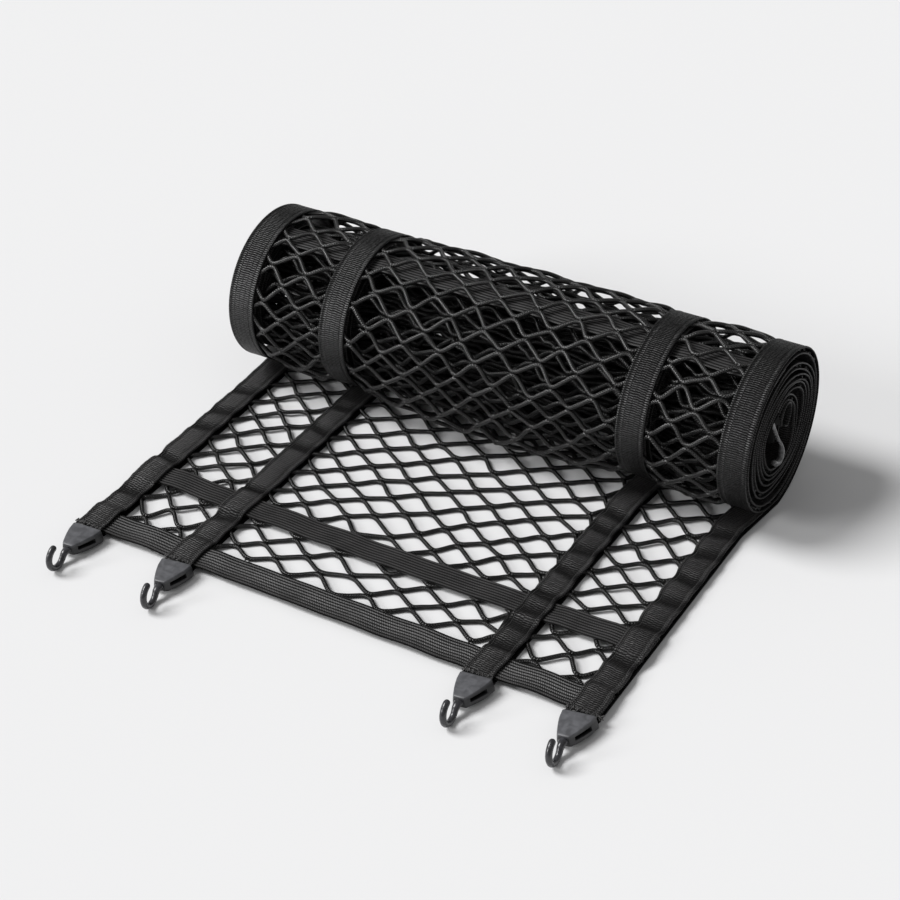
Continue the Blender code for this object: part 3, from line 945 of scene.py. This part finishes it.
def webbing_section(thickness, columns, bead, groove):
    """A strap's section as (across, height) pairs round it: soft edges, beads and seam grooves."""
    rounding = thickness / 2.0
    inner = WEBBING_WIDTH - 2.0 * rounding
    outline = []
    for step in range(columns + 1):
        share = step / columns
        lump = bead * (bump(share, 0.035, 0.060) + bump(share, 0.965, 0.060))
        lump -= groove * sum(bump(share, seam, 0.055) for seam in SEAMS)
        outline.append((WEBBING_WIDTH - rounding - inner * share, thickness + lump))
    angles = [math.pi * step / 4.0 for step in (1, 2, 3)]
    edge = [(rounding * math.sin(angle), rounding * math.cos(angle)) for angle in angles]
    outline += [(rounding - out, rounding + up) for out, up in edge]
    outline += [(rounding + inner * step / 8.0, 0.0) for step in range(9)]
    outline += [(WEBBING_WIDTH - rounding + out, rounding - up) for out, up in edge]
    return outline


def section_girths(outline):
    """Lengths round a section, from its first corner back to it."""
    return lengths_along([*outline, outline[0]])


def add_strap(name, left, outline, alongs, place_of, look, held, rests_on, node=None,
              flip=False, painted_shade_of=None):
    """A strap along the net: its section carried from place to place."""
    surface = Surface()
    rings = [[place_of(left + side, height, along) for side, height in outline] for along in alongs]
    surface.strip(rings, section_girths(outline), alongs)
    piece = surface.made(name, look, flip)
    # Painted shade, when given, is kept in the piece's crease attribute for the webbing's look.
    if painted_shade_of:
        shares = [side / WEBBING_WIDTH for side, _ in outline]
        creases = [painted_shade_of(share, along) for along in alongs for share in shares]
        piece.data.attributes.new("crease", "FLOAT", "POINT").data.foreach_set("value", creases)
    hand_over(
        piece, "webbing", node,
        flat=(WEBBING_WIDTH, alongs[-1] - alongs[0]), held=held, rests_on=[rests_on],
    )


def pinch(number, along, across_share):
    """How a face strap rises between its creases, from 0 in a crease to 1 between them."""
    low = 0.0
    for crease in CREASES[number]:
        slanted = crease + (across_share - 0.5) * 0.006 * math.sin(crease * 900.0)
        low = max(low, bump(along, slanted, CREASE_REACH))
    return 1.0 - low


def behind_hook(hook, across, gap):
    """The place along the net that lies a gap behind a hook's turned body."""
    return hook.along + (across - hook.across) * math.sin(math.radians(hook.yaw)) + gap


def strap_start(left, hook):
    """The strap ends just behind its hook's body."""
    return behind_hook(hook, left + WEBBING_WIDTH, 2.0 * GAP)


def face_strap_depth(along):
    """The face straps lie on the net and climb smoothly over the two flat bands."""
    nearest = 1.0
    for band in FLAT_BANDS:
        ahead = band.start - band.sag - along
        behind = along - band.start - band.width
        nearest = min(nearest, max(ahead, behind, 0.0))
    return BAND_DEPTH + FACE_STRAP_LIFT * (1.0 - smooth_step(0.0, STRAP_RAMP, nearest))


def face_strap_place(number, across, height, along):
    """A place on a face strap: height is from its underside."""
    if along > LOOSE_LENGTH:
        return net_point(across, along, BAND_DEPTH + height)
    share = (across - STRAP_LEFT_EDGES[number]) / WEBBING_WIDTH
    fade = 1.0 - smooth_step(0.245, 0.275, along)
    rise = pinch(number, along, share)
    crinkle = math.sin(along * FULL_TURN / 0.0061 + share * 2.4 + number)
    lift = fade * (PUCKER * rise * (0.50 + 0.50 * bump(share, 0.5, 0.62)) + 0.00010 * crinkle)
    sway = fade * 0.0005 * math.sin(along * 190.0 + number * 2.0)
    drawn = fade * 0.0008 * (1.0 - rise) * (1.0 - 2.0 * share)
    return net_point(across + sway + drawn, along, face_strap_depth(along) + height + lift)


def sew(surface, number, spots, radii, sides=5):
    """A thread on a face strap, through places given as across, height and along."""
    add_tube(surface, [face_strap_place(number, *spot) for spot in spots], radii, sides)


def add_stitches(surface, number, across, alongs, length):
    """A row of sewn stitches along a face strap, each a short bowed thread."""
    radii = [THREAD_RADIUS * wide for wide in (0.5, 1.0, 1.1, 1.0, 0.5)]
    shares = spaced(0.0, 1.0, 0.25)
    heights = [0.00042 * math.sin(math.pi * share) - 0.00030 for share in shares]
    for start in alongs:
        sew(surface, number, [
            (across, FACE_STRAP_THICKNESS + height, start + share * length * 0.82)
            for share, height in zip(shares, heights)
        ], radii)


def add_bar_tack(surface, number, left, along):
    """The thick zigzag of thread that closes a strap's end."""
    route = []
    overlap = 0.0002
    step_across = (WEBBING_WIDTH + 2.0 * overlap) / 32.0
    for step, across in enumerate(spaced(-overlap, WEBBING_WIDTH + overlap, step_across)):
        side = 0.0014 + (TACK_WIDTH if step % 2 else 0.0) + 0.0004 * math.sin(step * 1.9)
        height = FACE_STRAP_THICKNESS + 0.00090 + 0.00035 * math.sin(step * 2.3 + number)
        route.append((left + across, height, along + side))
    sew(surface, number, route, TACK_RADIUS, 6)


def add_thread_end(surface, number, across, along):
    """A tuft of cut thread that stands out from a strap's edge."""
    for count, (aside, ahead, up) in enumerate((
        (0.0052, -0.0012, 0.0004), (0.0046, 0.0016, 0.0014), (0.0038, -0.0026, -0.0012),
    )):
        route = []
        for share in spaced(0.0, 1.0, 0.2):
            curl = 0.0006 * math.sin(share * 5.0 + count * 2.0)
            height = FACE_STRAP_THICKNESS * 0.5 + up * share + curl
            route.append((across + aside * share, height, along + ahead * share))
        sew(surface, number, route, [0.00075, 0.00080, 0.00075, 0.00065, 0.00055, 0.00040])


class CARGO_NET_OT_back_straps(bpy.types.Operator):
    """Sews the four straps of the underside, which are the outside of the roll."""

    bl_idname = "cargo_net.back_straps"
    bl_label = "Back straps"

    def execute(self, context):
        section = webbing_section(WEBBING_THICKNESS, 20, 0.00020, 0.00030)
        outline = [(across, WEBBING_THICKNESS - height) for across, height in section]
        look = cloth("back_webbing")
        outer_end = length_at(1.0)

        def place(across, depth, along):
            # The beads may stand proud of the roll, but not press into the ground.
            shallowest = -0.0003 if along > LOOSE_LENGTH + 0.02 else 0.0
            return net_point(across, along, max(depth, shallowest))

        # Painted shade on the back straps: darker towards the roll's top and bottom than on the lit
        # front of the outer turn.
        def painted_roll_shade(share, along):
            turn = turn_at(max(along, LOOSE_LENGTH))
            return 0.70 * (1.0 - bump(turn, LIT_BAND_TURN, LIT_BAND_REACH))

        for number, (left, hook) in enumerate(zip(STRAP_LEFT_EDGES, FRONT_HOOKS), start=1):
            alongs = spaced(strap_start(left, hook), LOOSE_LENGTH, 0.004)
            alongs += spaced(LOOSE_LENGTH, outer_end, 0.003)[1:]
            add_strap(
                f"back_strap_{number}", left, outline, alongs, place, look, "folded", "floor",
                f"strap_back_{number}", flip=True, painted_shade_of=painted_roll_shade,
            )
            add_strap(
                f"back_strap_inner_{number}", left, outline,
                spaced(outer_end, length_at(NET_END_TURN), 0.004), place, look, "folded",
                f"back_strap_{number}", flip=True,
            )
        return {"FINISHED"}


class CARGO_NET_OT_face_straps(bpy.types.Operator):
    """Sews the four straps of the upper face, puckered by their seams, and on into the roll."""

    bl_idname = "cargo_net.face_straps"
    bl_label = "Face straps"

    def execute(self, context):
        outline = webbing_section(FACE_STRAP_THICKNESS, 24, 0.00045, 0.00045)
        look = cloth("face_webbing")
        stitch = context.scene.cargo_net_sizes.stitch_length
        for number, (left, hook) in enumerate(zip(STRAP_LEFT_EDGES, FRONT_HOOKS)):

            def place(across, height, along, number=number):
                return face_strap_place(number, across, height, along)

            # Painted shade in the strap's creases.
            def painted_shade_of(share, along, number=number):
                return 1.0 - pinch(number, along, share)

            add_strap(
                f"face_strap_{number + 1}", left, outline,
                spaced(behind_hook(hook, left, -STRAP_TUCK), LOOSE_LENGTH, 0.0015), place, look,
                "laid", "flat_cord_net", f"strap_face_{number + 1}", painted_shade_of=painted_shade_of,
            )
            start = strap_start(left, hook)
            threads = Surface()
            for share in SEAMS:
                count = int(SEAM_LENGTH / stitch)
                places = [start + SEAM_START + stitch * done for done in range(count)]
                add_stitches(threads, number, left + share * WEBBING_WIDTH, places, stitch)
            add_bar_tack(threads, number, left, start)
            if number == 3:
                add_thread_end(threads, number, left + WEBBING_WIDTH, start + 0.004)
            sewn = threads.made(f"strap_seams_{number + 1}", cloth("sewing_thread"), flip=True)
            hand_over(sewn, "webbing")
            add_strap(
                f"face_strap_inner_{number + 1}", left, outline,
                spaced(LOOSE_LENGTH, length_at(NET_END_TURN), 0.004), place, look, "folded",
                f"back_strap_{number + 1}",
            )
        return {"FINISHED"}


# The fold at the inner end of the right face strap, from the roll's centre, behind it and up.
FOLD = (
    (-0.0030, 0.0060), (-0.0040, 0.0140), (-0.0020, 0.0205), (0.0040, 0.0230), (0.0110, 0.0200),
    (0.0160, 0.0125), (0.0165, 0.0040), (0.0120, -0.0020), (0.0060, 0.0010),
)


class CARGO_NET_OT_folded_end(bpy.types.Operator):
    """Folds the right face strap's end in the middle of the roll."""

    bl_idname = "cargo_net.folded_end"
    bl_label = "Folded end"

    def execute(self, context):
        outline = webbing_section(FACE_STRAP_THICKNESS, 16, 0.00030, 0.00030)
        corners = [Vector(corner) for corner in FOLD]
        route = [
            curve_between(*four_near(corners, index), step / 8.0)
            for index in range(len(corners) - 1) for step in range(8)
        ]
        route.append(corners[-1])
        lengths = lengths_along(route)
        centre_along = LOOSE_LENGTH - ORIGIN_ALONG
        rings = []
        for number, here in enumerate(route):
            before, _, after, _ = four_near(route, number)
            heading = (after - before).normalized()
            aside = 0.0012 * math.sin(lengths[number] * 90.0) - ORIGIN_ACROSS
            rings.append([
                Vector((
                    widened(STRAP_LEFT_EDGES[3] + across, 1.0) + aside,
                    centre_along + here.x - heading.y * height,
                    ROLL_HEIGHT + here.y + heading.x * height,
                ))
                for across, height in outline
            ])
        surface = Surface()
        surface.strip(rings, section_girths(outline), lengths)
        hand_over(
            surface.made("folded_strap_end", cloth("face_webbing"), flip=True), "webbing",
            flat=(WEBBING_WIDTH, lengths[-1]), held="folded", rests_on=["face_strap_inner_4"],
        )
        return {"FINISHED"}


def band_section(width):
    """A band's section as (along, height) pairs: rounded ribs above, flat below."""
    outline = []
    for rib in range(BAND_RIBS):
        for step in range(RIB_CORNERS):
            part = step / RIB_CORNERS
            rise = RIB_HEIGHT * math.sin(math.pi * part)
            outline.append((width * (rib + part) / BAND_RIBS, BAND_THICKNESS + rise))
    outline.append((width, BAND_THICKNESS))
    return outline + [(width * (1.0 - step / 8.0), 0.0) for step in range(9)]


def flat_band_place(band, across, along, height):
    """A place on one of the two flat bands, which sag and sway between the straps."""
    share = across / NET_WIDTH
    loose = 1.0 - near_strap(across)
    sag = band.sag * 4.0 * share * (1.0 - share)
    lift = loose * 0.0004 * (1.0 + math.sin(across * 120.0 + band.start * 30.0))
    lift += in_side_bay(across) * 0.0004
    sway = loose * 0.0003 * math.sin(across * 105.0 + band.start * 50.0)
    return flat_point(across, band.start - sag + sway + along, BAND_DEPTH + lift + height)


def third_band_place(band, across, along, height):
    """A place on the band inside the outer turn, its ribs towards the roll's outside."""
    sway = (1.0 - near_strap(across)) * 0.0008 * math.sin(across * 88.0)
    depth = BAND_DEPTH + CORD_DIP + BAND_THICKNESS + RIB_HEIGHT - height
    return wound_point(across, turn_at(band.start + sway + along), depth)


class CARGO_NET_OT_bands(bpy.types.Operator):
    """Sews the ribbed elastic bands across the net."""

    bl_idname = "cargo_net.bands"
    bl_label = "Ribbed bands"

    def execute(self, context):
        third = Band("third", length_at(THIRD_BAND_TURN), THIRD_BAND_WIDTH, 0.0)
        rib_girth = section_girths(band_section(THIRD_BAND_WIDTH))[RIB_CORNERS] * MM_PER_M
        look = elastic_look("ribbed_elastic_knit", chosen("elastic"), rib_girth)
        acrosses = spaced(0.0005, NET_WIDTH - 0.0005, 0.003)
        for band in (*FLAT_BANDS, third):
            wound = band is third
            place_of = third_band_place if wound else flat_band_place
            outline = band_section(band.width)
            surface = Surface()
            surface.strip(
                [[place_of(band, across, *corner) for corner in outline] for across in acrosses],
                section_girths(outline), acrosses,
            )
            hand_over(
                surface.made(f"ribbed_band_{band.label}", look, flip=wound),
                "ribbed_elastic", f"band_{band.label}",
                flat=(band.width, NET_WIDTH), held="folded" if wound else "stretched",
                rests_on=["outer_cord_net" if wound else "flat_cord_net"],
            )
        return {"FINISHED"}


# ---------------------------------------------------------------- hooks

# Where the moulded body is cut along its length, as shares of it, and how its width and
# thickness there compare with an even taper.
BODY_STATIONS = (
    (0.0, 0.87, 0.86), (0.06, 0.97, 0.98), (0.31, 1.07, 1.0), (0.42, 1.09, 1.02),
    (0.58, 1.11, 1.02), (0.74, 1.10, 1.0), (0.86, 1.07, 1.0), (0.96, 1.0, 0.98),
    (1.0, 0.86, 0.90),
)
# How wide the body is at each height: height as a share of its thickness, from the middle.
# The last value is how far that level drops, so that the belly hangs low.
BODY_LEVELS = (
    (0.50, 1.00, 0.0), (0.19, 1.08, 0.0), (-0.21, 1.15, 0.0004), (-0.38, 1.18, 0.0012),
    (-0.50, 1.06, 0.0019),
)
SAME_LEVEL = 0.0002
SLOT_SPAN = (0.31, 0.86)
SLOT_DEPTH = 0.0050
LOWEST_CORNER = 0.0001

# How each hook's neck runs from the body to the bend, how thick it starts, where in the bend
# it arrives, how far the bend lies to the side and whether the neck is flattened.
Neck = namedtuple("Neck", "start leaving arriving share first aside flattened")
FRONT_NECK = Neck(
    start=Vector((0.0, -0.0285, -0.0005)), leaving=Vector((0.0, -0.0337, -0.0005)),
    arriving=Vector((0.0, -0.03538, -0.00084)), share=1.0, first=math.radians(215.0),
    aside=0.0, flattened=True,
)
FAR_NECK = Neck(
    start=Vector((0.0124, -0.0030, 0.0025)), leaving=Vector((0.0130, -0.0150, 0.0065)),
    arriving=Vector((0.0050, -0.0380, -0.0030)), share=0.60, first=math.radians(276.0),
    aside=0.0015, flattened=False,
)


def pick(test, faces=False):
    """In edit mode, selects the vertices or faces whose place and normal pass a test."""
    bpy.ops.mesh.select_mode(type="FACE" if faces else "VERT")
    bpy.ops.mesh.select_all(action="DESELECT")
    mesh = bpy.context.active_object.data
    edited = bmesh.from_edit_mesh(mesh)
    for item in edited.faces if faces else edited.verts:
        place = item.calc_center_median() if faces else item.co
        if test(place, item.normal):
            item.select_set(True)
    edited.select_flush_mode()
    bmesh.update_edit_mesh(mesh)


def cut(place, normal):
    """In edit mode, cuts the whole mesh by a plane."""
    bpy.ops.mesh.select_all(action="SELECT")
    bpy.ops.mesh.bisect(plane_co=place, plane_no=normal)


def resize(value, centre):
    bpy.ops.transform.resize(value=value, center_override=centre)


def taper(tip, root, share):
    """How a size that runs evenly from the root to the tip compares with the root's."""
    return 1.0 + (tip / root - 1.0) * share


def model_hook_body():
    """The moulded body: a flat tapered top with a soft rim, bulging sides, a slot in each."""
    bpy.ops.object.select_all(action="DESELECT")
    bpy.ops.mesh.primitive_cube_add(size=1.0, location=(0.0, 0.0, 0.0))
    body = bpy.context.active_object
    bpy.ops.object.mode_set(mode="EDIT")
    resize((BODY_WIDTH, BODY_LENGTH, BODY_THICKNESS), (0.0, 0.0, 0.0))
    bpy.ops.transform.translate(value=(0.0, -BODY_LENGTH / 2.0, 0.0))
    for station, _, _ in BODY_STATIONS[1:-1]:
        cut((0.0, -station * BODY_LENGTH, 0.0), (0.0, 1.0, 0.0))
    for height, _, _ in BODY_LEVELS[1:-1]:
        cut((0.0, 0.0, height * BODY_THICKNESS), (0.0, 0.0, 1.0))
    for height, wide, drop in reversed(BODY_LEVELS):
        level = height * BODY_THICKNESS
        pick(lambda place, normal: abs(place.z - level) < SAME_LEVEL)
        resize((wide, 1.0, 1.0), (0.0, 0.0, level))
        bpy.ops.transform.translate(value=(0.0, 0.0, -drop))
    for station, wide, thick in BODY_STATIONS:
        along = -station * BODY_LENGTH
        width = taper(BODY_TIP_WIDTH, BODY_WIDTH, station)
        thickness = taper(BODY_TIP_THICKNESS, BODY_THICKNESS, station)
        pick(lambda place, normal: abs(place.y - along) < SAME_LEVEL)
        resize((width * wide, 1.0, thickness * thick), (0.0, along, 0.0))
    low, high = -SLOT_SPAN[1] * BODY_LENGTH, -SLOT_SPAN[0] * BODY_LENGTH

    def in_slot(place, normal):
        return normal.x * side > 0.4 and low < place.y < high and abs(place.z) < 0.0012

    for side in (1.0, -1.0):
        pick(in_slot, faces=True)
        bpy.ops.mesh.inset(thickness=0.00025, depth=0.0)
        bpy.ops.mesh.inset(thickness=0.0002, depth=-SLOT_DEPTH)
    pick(lambda place, normal: normal.z > 0.9, faces=True)
    bpy.ops.mesh.inset(thickness=0.0011, depth=0.00025)
    pick(lambda place, normal: normal.y > 0.9, faces=True)
    bpy.ops.mesh.inset(thickness=0.0014, depth=-0.0012)
    bpy.ops.object.mode_set(mode="OBJECT")
    rounding = body.modifiers.new("rounding", "BEVEL")
    rounding.width = 0.0008
    rounding.segments = 3
    rounding.limit_method = "ANGLE"
    rounding.angle_limit = math.radians(24.0)
    bpy.ops.object.modifier_apply(modifier="rounding")
    bpy.ops.object.shade_smooth_by_angle(angle=math.radians(38.0))
    mark_body(body.data)
    return body


def mark_body(mesh):
    """Notes for the moulding's look where light is painted on its top and where shade is painted in
    its slots.
    """
    worn, hollow = [], []
    for corner in mesh.vertices:
        place = corner.co
        share = min(1.0, max(0.0, -place.y / BODY_LENGTH))
        thickness = BODY_THICKNESS * taper(BODY_TIP_THICKNESS, BODY_THICKNESS, share)
        # Painted light: 1 on the top, falling to 0 down the sides.
        worn.append(smooth_step(0.37, 0.47, place.z / thickness))
        half = BODY_WIDTH / 2.0 * taper(BODY_TIP_WIDTH, BODY_WIDTH, share) * 1.08
        # Painted shade inside the slots.
        in_span = SLOT_SPAN[0] < share < SLOT_SPAN[1]
        inside = in_span and abs(place.z) < 0.0030 and abs(place.x) < half - 0.0012
        hollow.append(1.0 if inside else 0.0)
    for name, values in (("worn", worn), ("hollow", hollow)):
        mesh.attributes.new(name, "FLOAT", "POINT").data.foreach_set("value", values)


def bend_place(neck, angle):
    """A place on the middle of the wire in its bend."""
    return Vector((
        neck.aside, -BEND_CENTRE_AHEAD - DRAWN_BEND_RADIUS * math.cos(angle),
        BEND_CENTRE_UP + DRAWN_BEND_RADIUS * math.sin(angle),
    ))


def hook_wire_route(neck):
    """The bent hook's route and radii, from its neck's start to its rounded end."""
    bend = bend_place(neck, neck.first)
    route, radii = [], []
    for step in range(10):
        share = step / 10.0
        rest = 1.0 - share
        route.append(
            neck.start * rest ** 3 + neck.leaving * (3.0 * share * rest ** 2)
            + neck.arriving * (3.0 * share ** 2 * rest) + bend * share ** 3
        )
        radii.append(DRAWN_WIRE_RADIUS * (1.02 - 0.06 * share) * neck.share)
    steps = 44
    for step in range(steps + 1):
        share = step / steps
        route.append(bend_place(neck, neck.first + (BEND_LAST_ANGLE - neck.first) * share))
        swell = smooth_step(0.0, 0.30, share)
        radii.append(DRAWN_WIRE_RADIUS * (0.96 * neck.share * (1.0 - swell) + swell))
    end = route[-1]
    heading = (end - route[-2]).normalized()
    for step in range(1, 6):
        angle = math.pi / 2.0 * step / 5.0
        route.append(end + heading * DRAWN_WIRE_RADIUS * math.sin(angle))
        radii.append(max(DRAWN_WIRE_RADIUS * math.cos(angle), 0.00012))
    return route, radii


def model_bent_wire(neck):
    """The bent hook: a curve with a round section, flattened where it leaves the body."""
    route, radii = hook_wire_route(neck)
    bpy.ops.object.select_all(action="DESELECT")
    path = bpy.data.curves.new("bent_wire", "CURVE")
    path.dimensions = "3D"
    path.bevel_depth = 1.0
    path.bevel_resolution = 4
    path.use_fill_caps = True
    line = path.splines.new("POLY")
    line.points.add(len(route) - 1)
    for point, place, radius in zip(line.points, route, radii):
        point.co = (*place, 1.0)
        point.radius = radius
    wire = bpy.data.objects.new("bent_wire", path)
    bpy.context.scene.collection.objects.link(wire)
    wire.select_set(True)
    bpy.context.view_layer.objects.active = wire
    bpy.ops.object.convert(target="MESH")
    wire = bpy.context.active_object
    bpy.ops.object.mode_set(mode="EDIT")
    for number in range(8 if neck.flattened else 0):
        limit = -BODY_LENGTH - 0.0085 + 0.0010 * number
        pick(lambda place, normal: place.y > limit and place.z < BEND_CENTRE_UP + 0.004)
        resize((1.04, 1.0, 1.0), (0.0, 0.0, 0.0))
    bpy.ops.mesh.select_all(action="SELECT")
    bpy.ops.mesh.normals_make_consistent(inside=False)
    bpy.ops.object.mode_set(mode="OBJECT")
    bpy.ops.object.shade_smooth_by_angle(angle=math.radians(50.0))
    return wire


def placed_copy(template, name, matrix, look):
    """A copy of a modelled piece with a mesh of its own, in its place."""
    piece = template.copy()
    piece.data = template.data.copy()
    piece.name = piece.data.name = name
    piece.data.transform(matrix)
    for corner in piece.data.vertices:
        corner.co.z = max(corner.co.z, LOWEST_CORNER)
    piece.data.materials.clear()
    piece.data.materials.append(look)
    bpy.context.scene.collection.objects.link(piece)
    return piece


def fit_hooks(prefix, hooks, spread, pitch, neck, body_finish, wire_finish):
    """Models one hook and fits a copy of it at each place; a finish is a look and a slot."""
    kinds = (
        (model_hook_body(), "moulded_body", "hook_body", *body_finish),
        (model_bent_wire(neck), "bent_hook", "hook_wire", *wire_finish),
    )
    from_net = Vector((-ORIGIN_ACROSS, -ORIGIN_ALONG, 0.0))
    for number, hook in enumerate(hooks, start=1):
        place = Vector((widened(hook.across, spread), hook.along, hook.height))
        matrix = Matrix.Translation(place + from_net)
        for turn, axis in zip((math.radians(hook.yaw), math.radians(hook.lean), pitch), "ZYX"):
            matrix @= Matrix.Rotation(turn, 4, axis)
        for template, name, node, look, slot in kinds:
            piece = placed_copy(template, f"{name}_{prefix}{number}", matrix, look)
            hand_over(piece, slot, f"{node}_{prefix}{number}")
    for template, *_ in kinds:
        bpy.data.objects.remove(template, do_unlink=True)


class CARGO_NET_OT_front_hooks(bpy.types.Operator):
    """Fits the four moulded hooks at the front edge."""

    bl_idname = "cargo_net.front_hooks"
    bl_label = "Front hooks"

    def execute(self, context):
        fit_hooks(
            "", FRONT_HOOKS, 0.0, -HOOK_PITCH, FRONT_NECK,
            (plastic_look("moulded_plastic", chosen("hook_body"), 0.42), "hook_body_plastic"),
            (wire_look("hook_wire_coating", chosen("hook_wire")), "hook_wire_gloss"),
        )
        return {"FINISHED"}


class CARGO_NET_OT_far_hooks(bpy.types.Operator):
    """Fits the hooks of the far end in the middle of the roll."""

    bl_idname = "cargo_net.far_hooks"
    bl_label = "Far hooks"

    def execute(self, context):
        # Painted shade: the body inside the roll is taken at 0.07 of the hooks' colour, with little
        # shine, while the wire keeps the full colour.
        moulding = plastic_look("far_hook_moulding", chosen("far_hook", 0.07), 0.65, 0.08)
        fit_hooks(
            "far_", FAR_HOOKS, 1.0, FAR_HOOK_TURN, FAR_NECK, (moulding, "far_hook_plastic"),
            (wire_look("far_hook_wire", chosen("far_hook")), "far_hook_plastic"),
        )
        return {"FINISHED"}


# ---------------------------------------------------------------- stage

CAMERA_TARGET = Vector((-0.0125, 0.0576, 0.0240))
CAMERA_DISTANCE = 1.857
CAMERA_AZIMUTH = math.radians(32.02)
CAMERA_ELEVATION = math.radians(36.02)
CAMERA_ROLL = -0.0381
CAMERA_LENS = 87.3
WORLD_LIGHT = 0.31
# Soft lights from far away, as wide as a large window: place, strength and spread.
SUNS = {
    "key_light": (Vector((-1.50, -0.60, 1.95)), 2.85, math.radians(27.0)),
    "front_light": (Vector((-0.57, -0.70, 0.42)), 1.2, math.radians(18.0)),
}


class CARGO_NET_OT_stage(bpy.types.Operator):
    """Sets the pale floor, the soft lights and the camera."""

    bl_idname = "cargo_net.stage"
    bl_label = "Stage"

    def execute(self, context):
        scene = context.scene
        bpy.ops.object.select_all(action="DESELECT")
        bpy.ops.mesh.primitive_plane_add(size=16.0, location=(0.0, 0.0, 0.0))
        floor = context.active_object
        floor.name = "floor"
        floor.data.materials.append(floor_look("pale_paper", chosen("floor")))
        for name, (place, strength, spread) in SUNS.items():
            light = bpy.data.lights.new(name, "SUN")
            light.energy = strength
            light.angle = spread
            holder = bpy.data.objects.new(name, light)
            scene.collection.objects.link(holder)
            holder.rotation_mode = "QUATERNION"
            holder.rotation_quaternion = (-place).to_track_quat("-Z", "Y")
        world = bpy.data.worlds.new("studio")
        world.use_nodes = True
        background = world.node_tree.nodes["Background"]
        background.inputs["Color"].default_value = (1.0, 1.0, 1.0, 1.0)
        background.inputs["Strength"].default_value = WORLD_LIGHT
        scene.world = world
        camera = bpy.data.cameras.new("camera")
        camera.lens = CAMERA_LENS
        camera.sensor_width = 36.0
        camera.clip_start = 0.05
        camera.clip_end = 60.0
        holder = bpy.data.objects.new("camera", camera)
        scene.collection.objects.link(holder)
        back = Vector((
            math.sin(CAMERA_AZIMUTH) * math.cos(CAMERA_ELEVATION),
            -math.cos(CAMERA_AZIMUTH) * math.cos(CAMERA_ELEVATION),
            math.sin(CAMERA_ELEVATION),
        ))
        right = (-back).cross(Vector((0.0, 0.0, 1.0))).normalized()
        up = right.cross(-back)
        rolled_right = right * math.cos(CAMERA_ROLL) + up * math.sin(CAMERA_ROLL)
        rolled_up = up * math.cos(CAMERA_ROLL) - right * math.sin(CAMERA_ROLL)
        turned = Matrix((rolled_right, rolled_up, back)).transposed().to_4x4()
        holder.matrix_world = Matrix.Translation(CAMERA_TARGET + back * CAMERA_DISTANCE) @ turned
        scene.camera = holder
        scene.view_settings.view_transform = "Standard"
        return {"FINISHED"}


class CARGO_NET_PT_panel(bpy.types.Panel):
    """Lists the net's settings and its steps."""

    bl_label = "Cargo net"
    bl_idname = "CARGO_NET_PT_panel"
    bl_space_type = "VIEW_3D"
    bl_region_type = "UI"
    bl_category = "Cargo net"

    def draw(self, context):
        column = self.layout.column()
        for group in (context.scene.cargo_net_sizes, context.scene.cargo_net_colours):
            for name in group.__annotations__:
                column.prop(group, name)
        for step in STEPS:
            column.operator(step.bl_idname)


STEPS = (
    CARGO_NET_OT_flat_cords,
    CARGO_NET_OT_wound_cords,
    CARGO_NET_OT_back_straps,
    CARGO_NET_OT_face_straps,
    CARGO_NET_OT_folded_end,
    CARGO_NET_OT_bands,
    CARGO_NET_OT_front_hooks,
    CARGO_NET_OT_far_hooks,
    CARGO_NET_OT_stage,
)
CLASSES = (CargoNetSizes, CargoNetColours, *STEPS, CARGO_NET_PT_panel)


def register():
    for made in CLASSES:
        bpy.utils.register_class(made)
    bpy.types.Scene.cargo_net_sizes = bpy.props.PointerProperty(type=CargoNetSizes)
    bpy.types.Scene.cargo_net_colours = bpy.props.PointerProperty(type=CargoNetColours)


def unregister():
    del bpy.types.Scene.cargo_net_colours
    del bpy.types.Scene.cargo_net_sizes
    for made in reversed(CLASSES):
        bpy.utils.unregister_class(made)


def main():
    """Builds every piece in order."""
    register()
    bpy.ops.object.select_all(action="DESELECT")
    for step in STEPS:
        getattr(bpy.ops.cargo_net, step.bl_idname.split(".")[1])()
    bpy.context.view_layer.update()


if __name__ == "__main__":
    main()
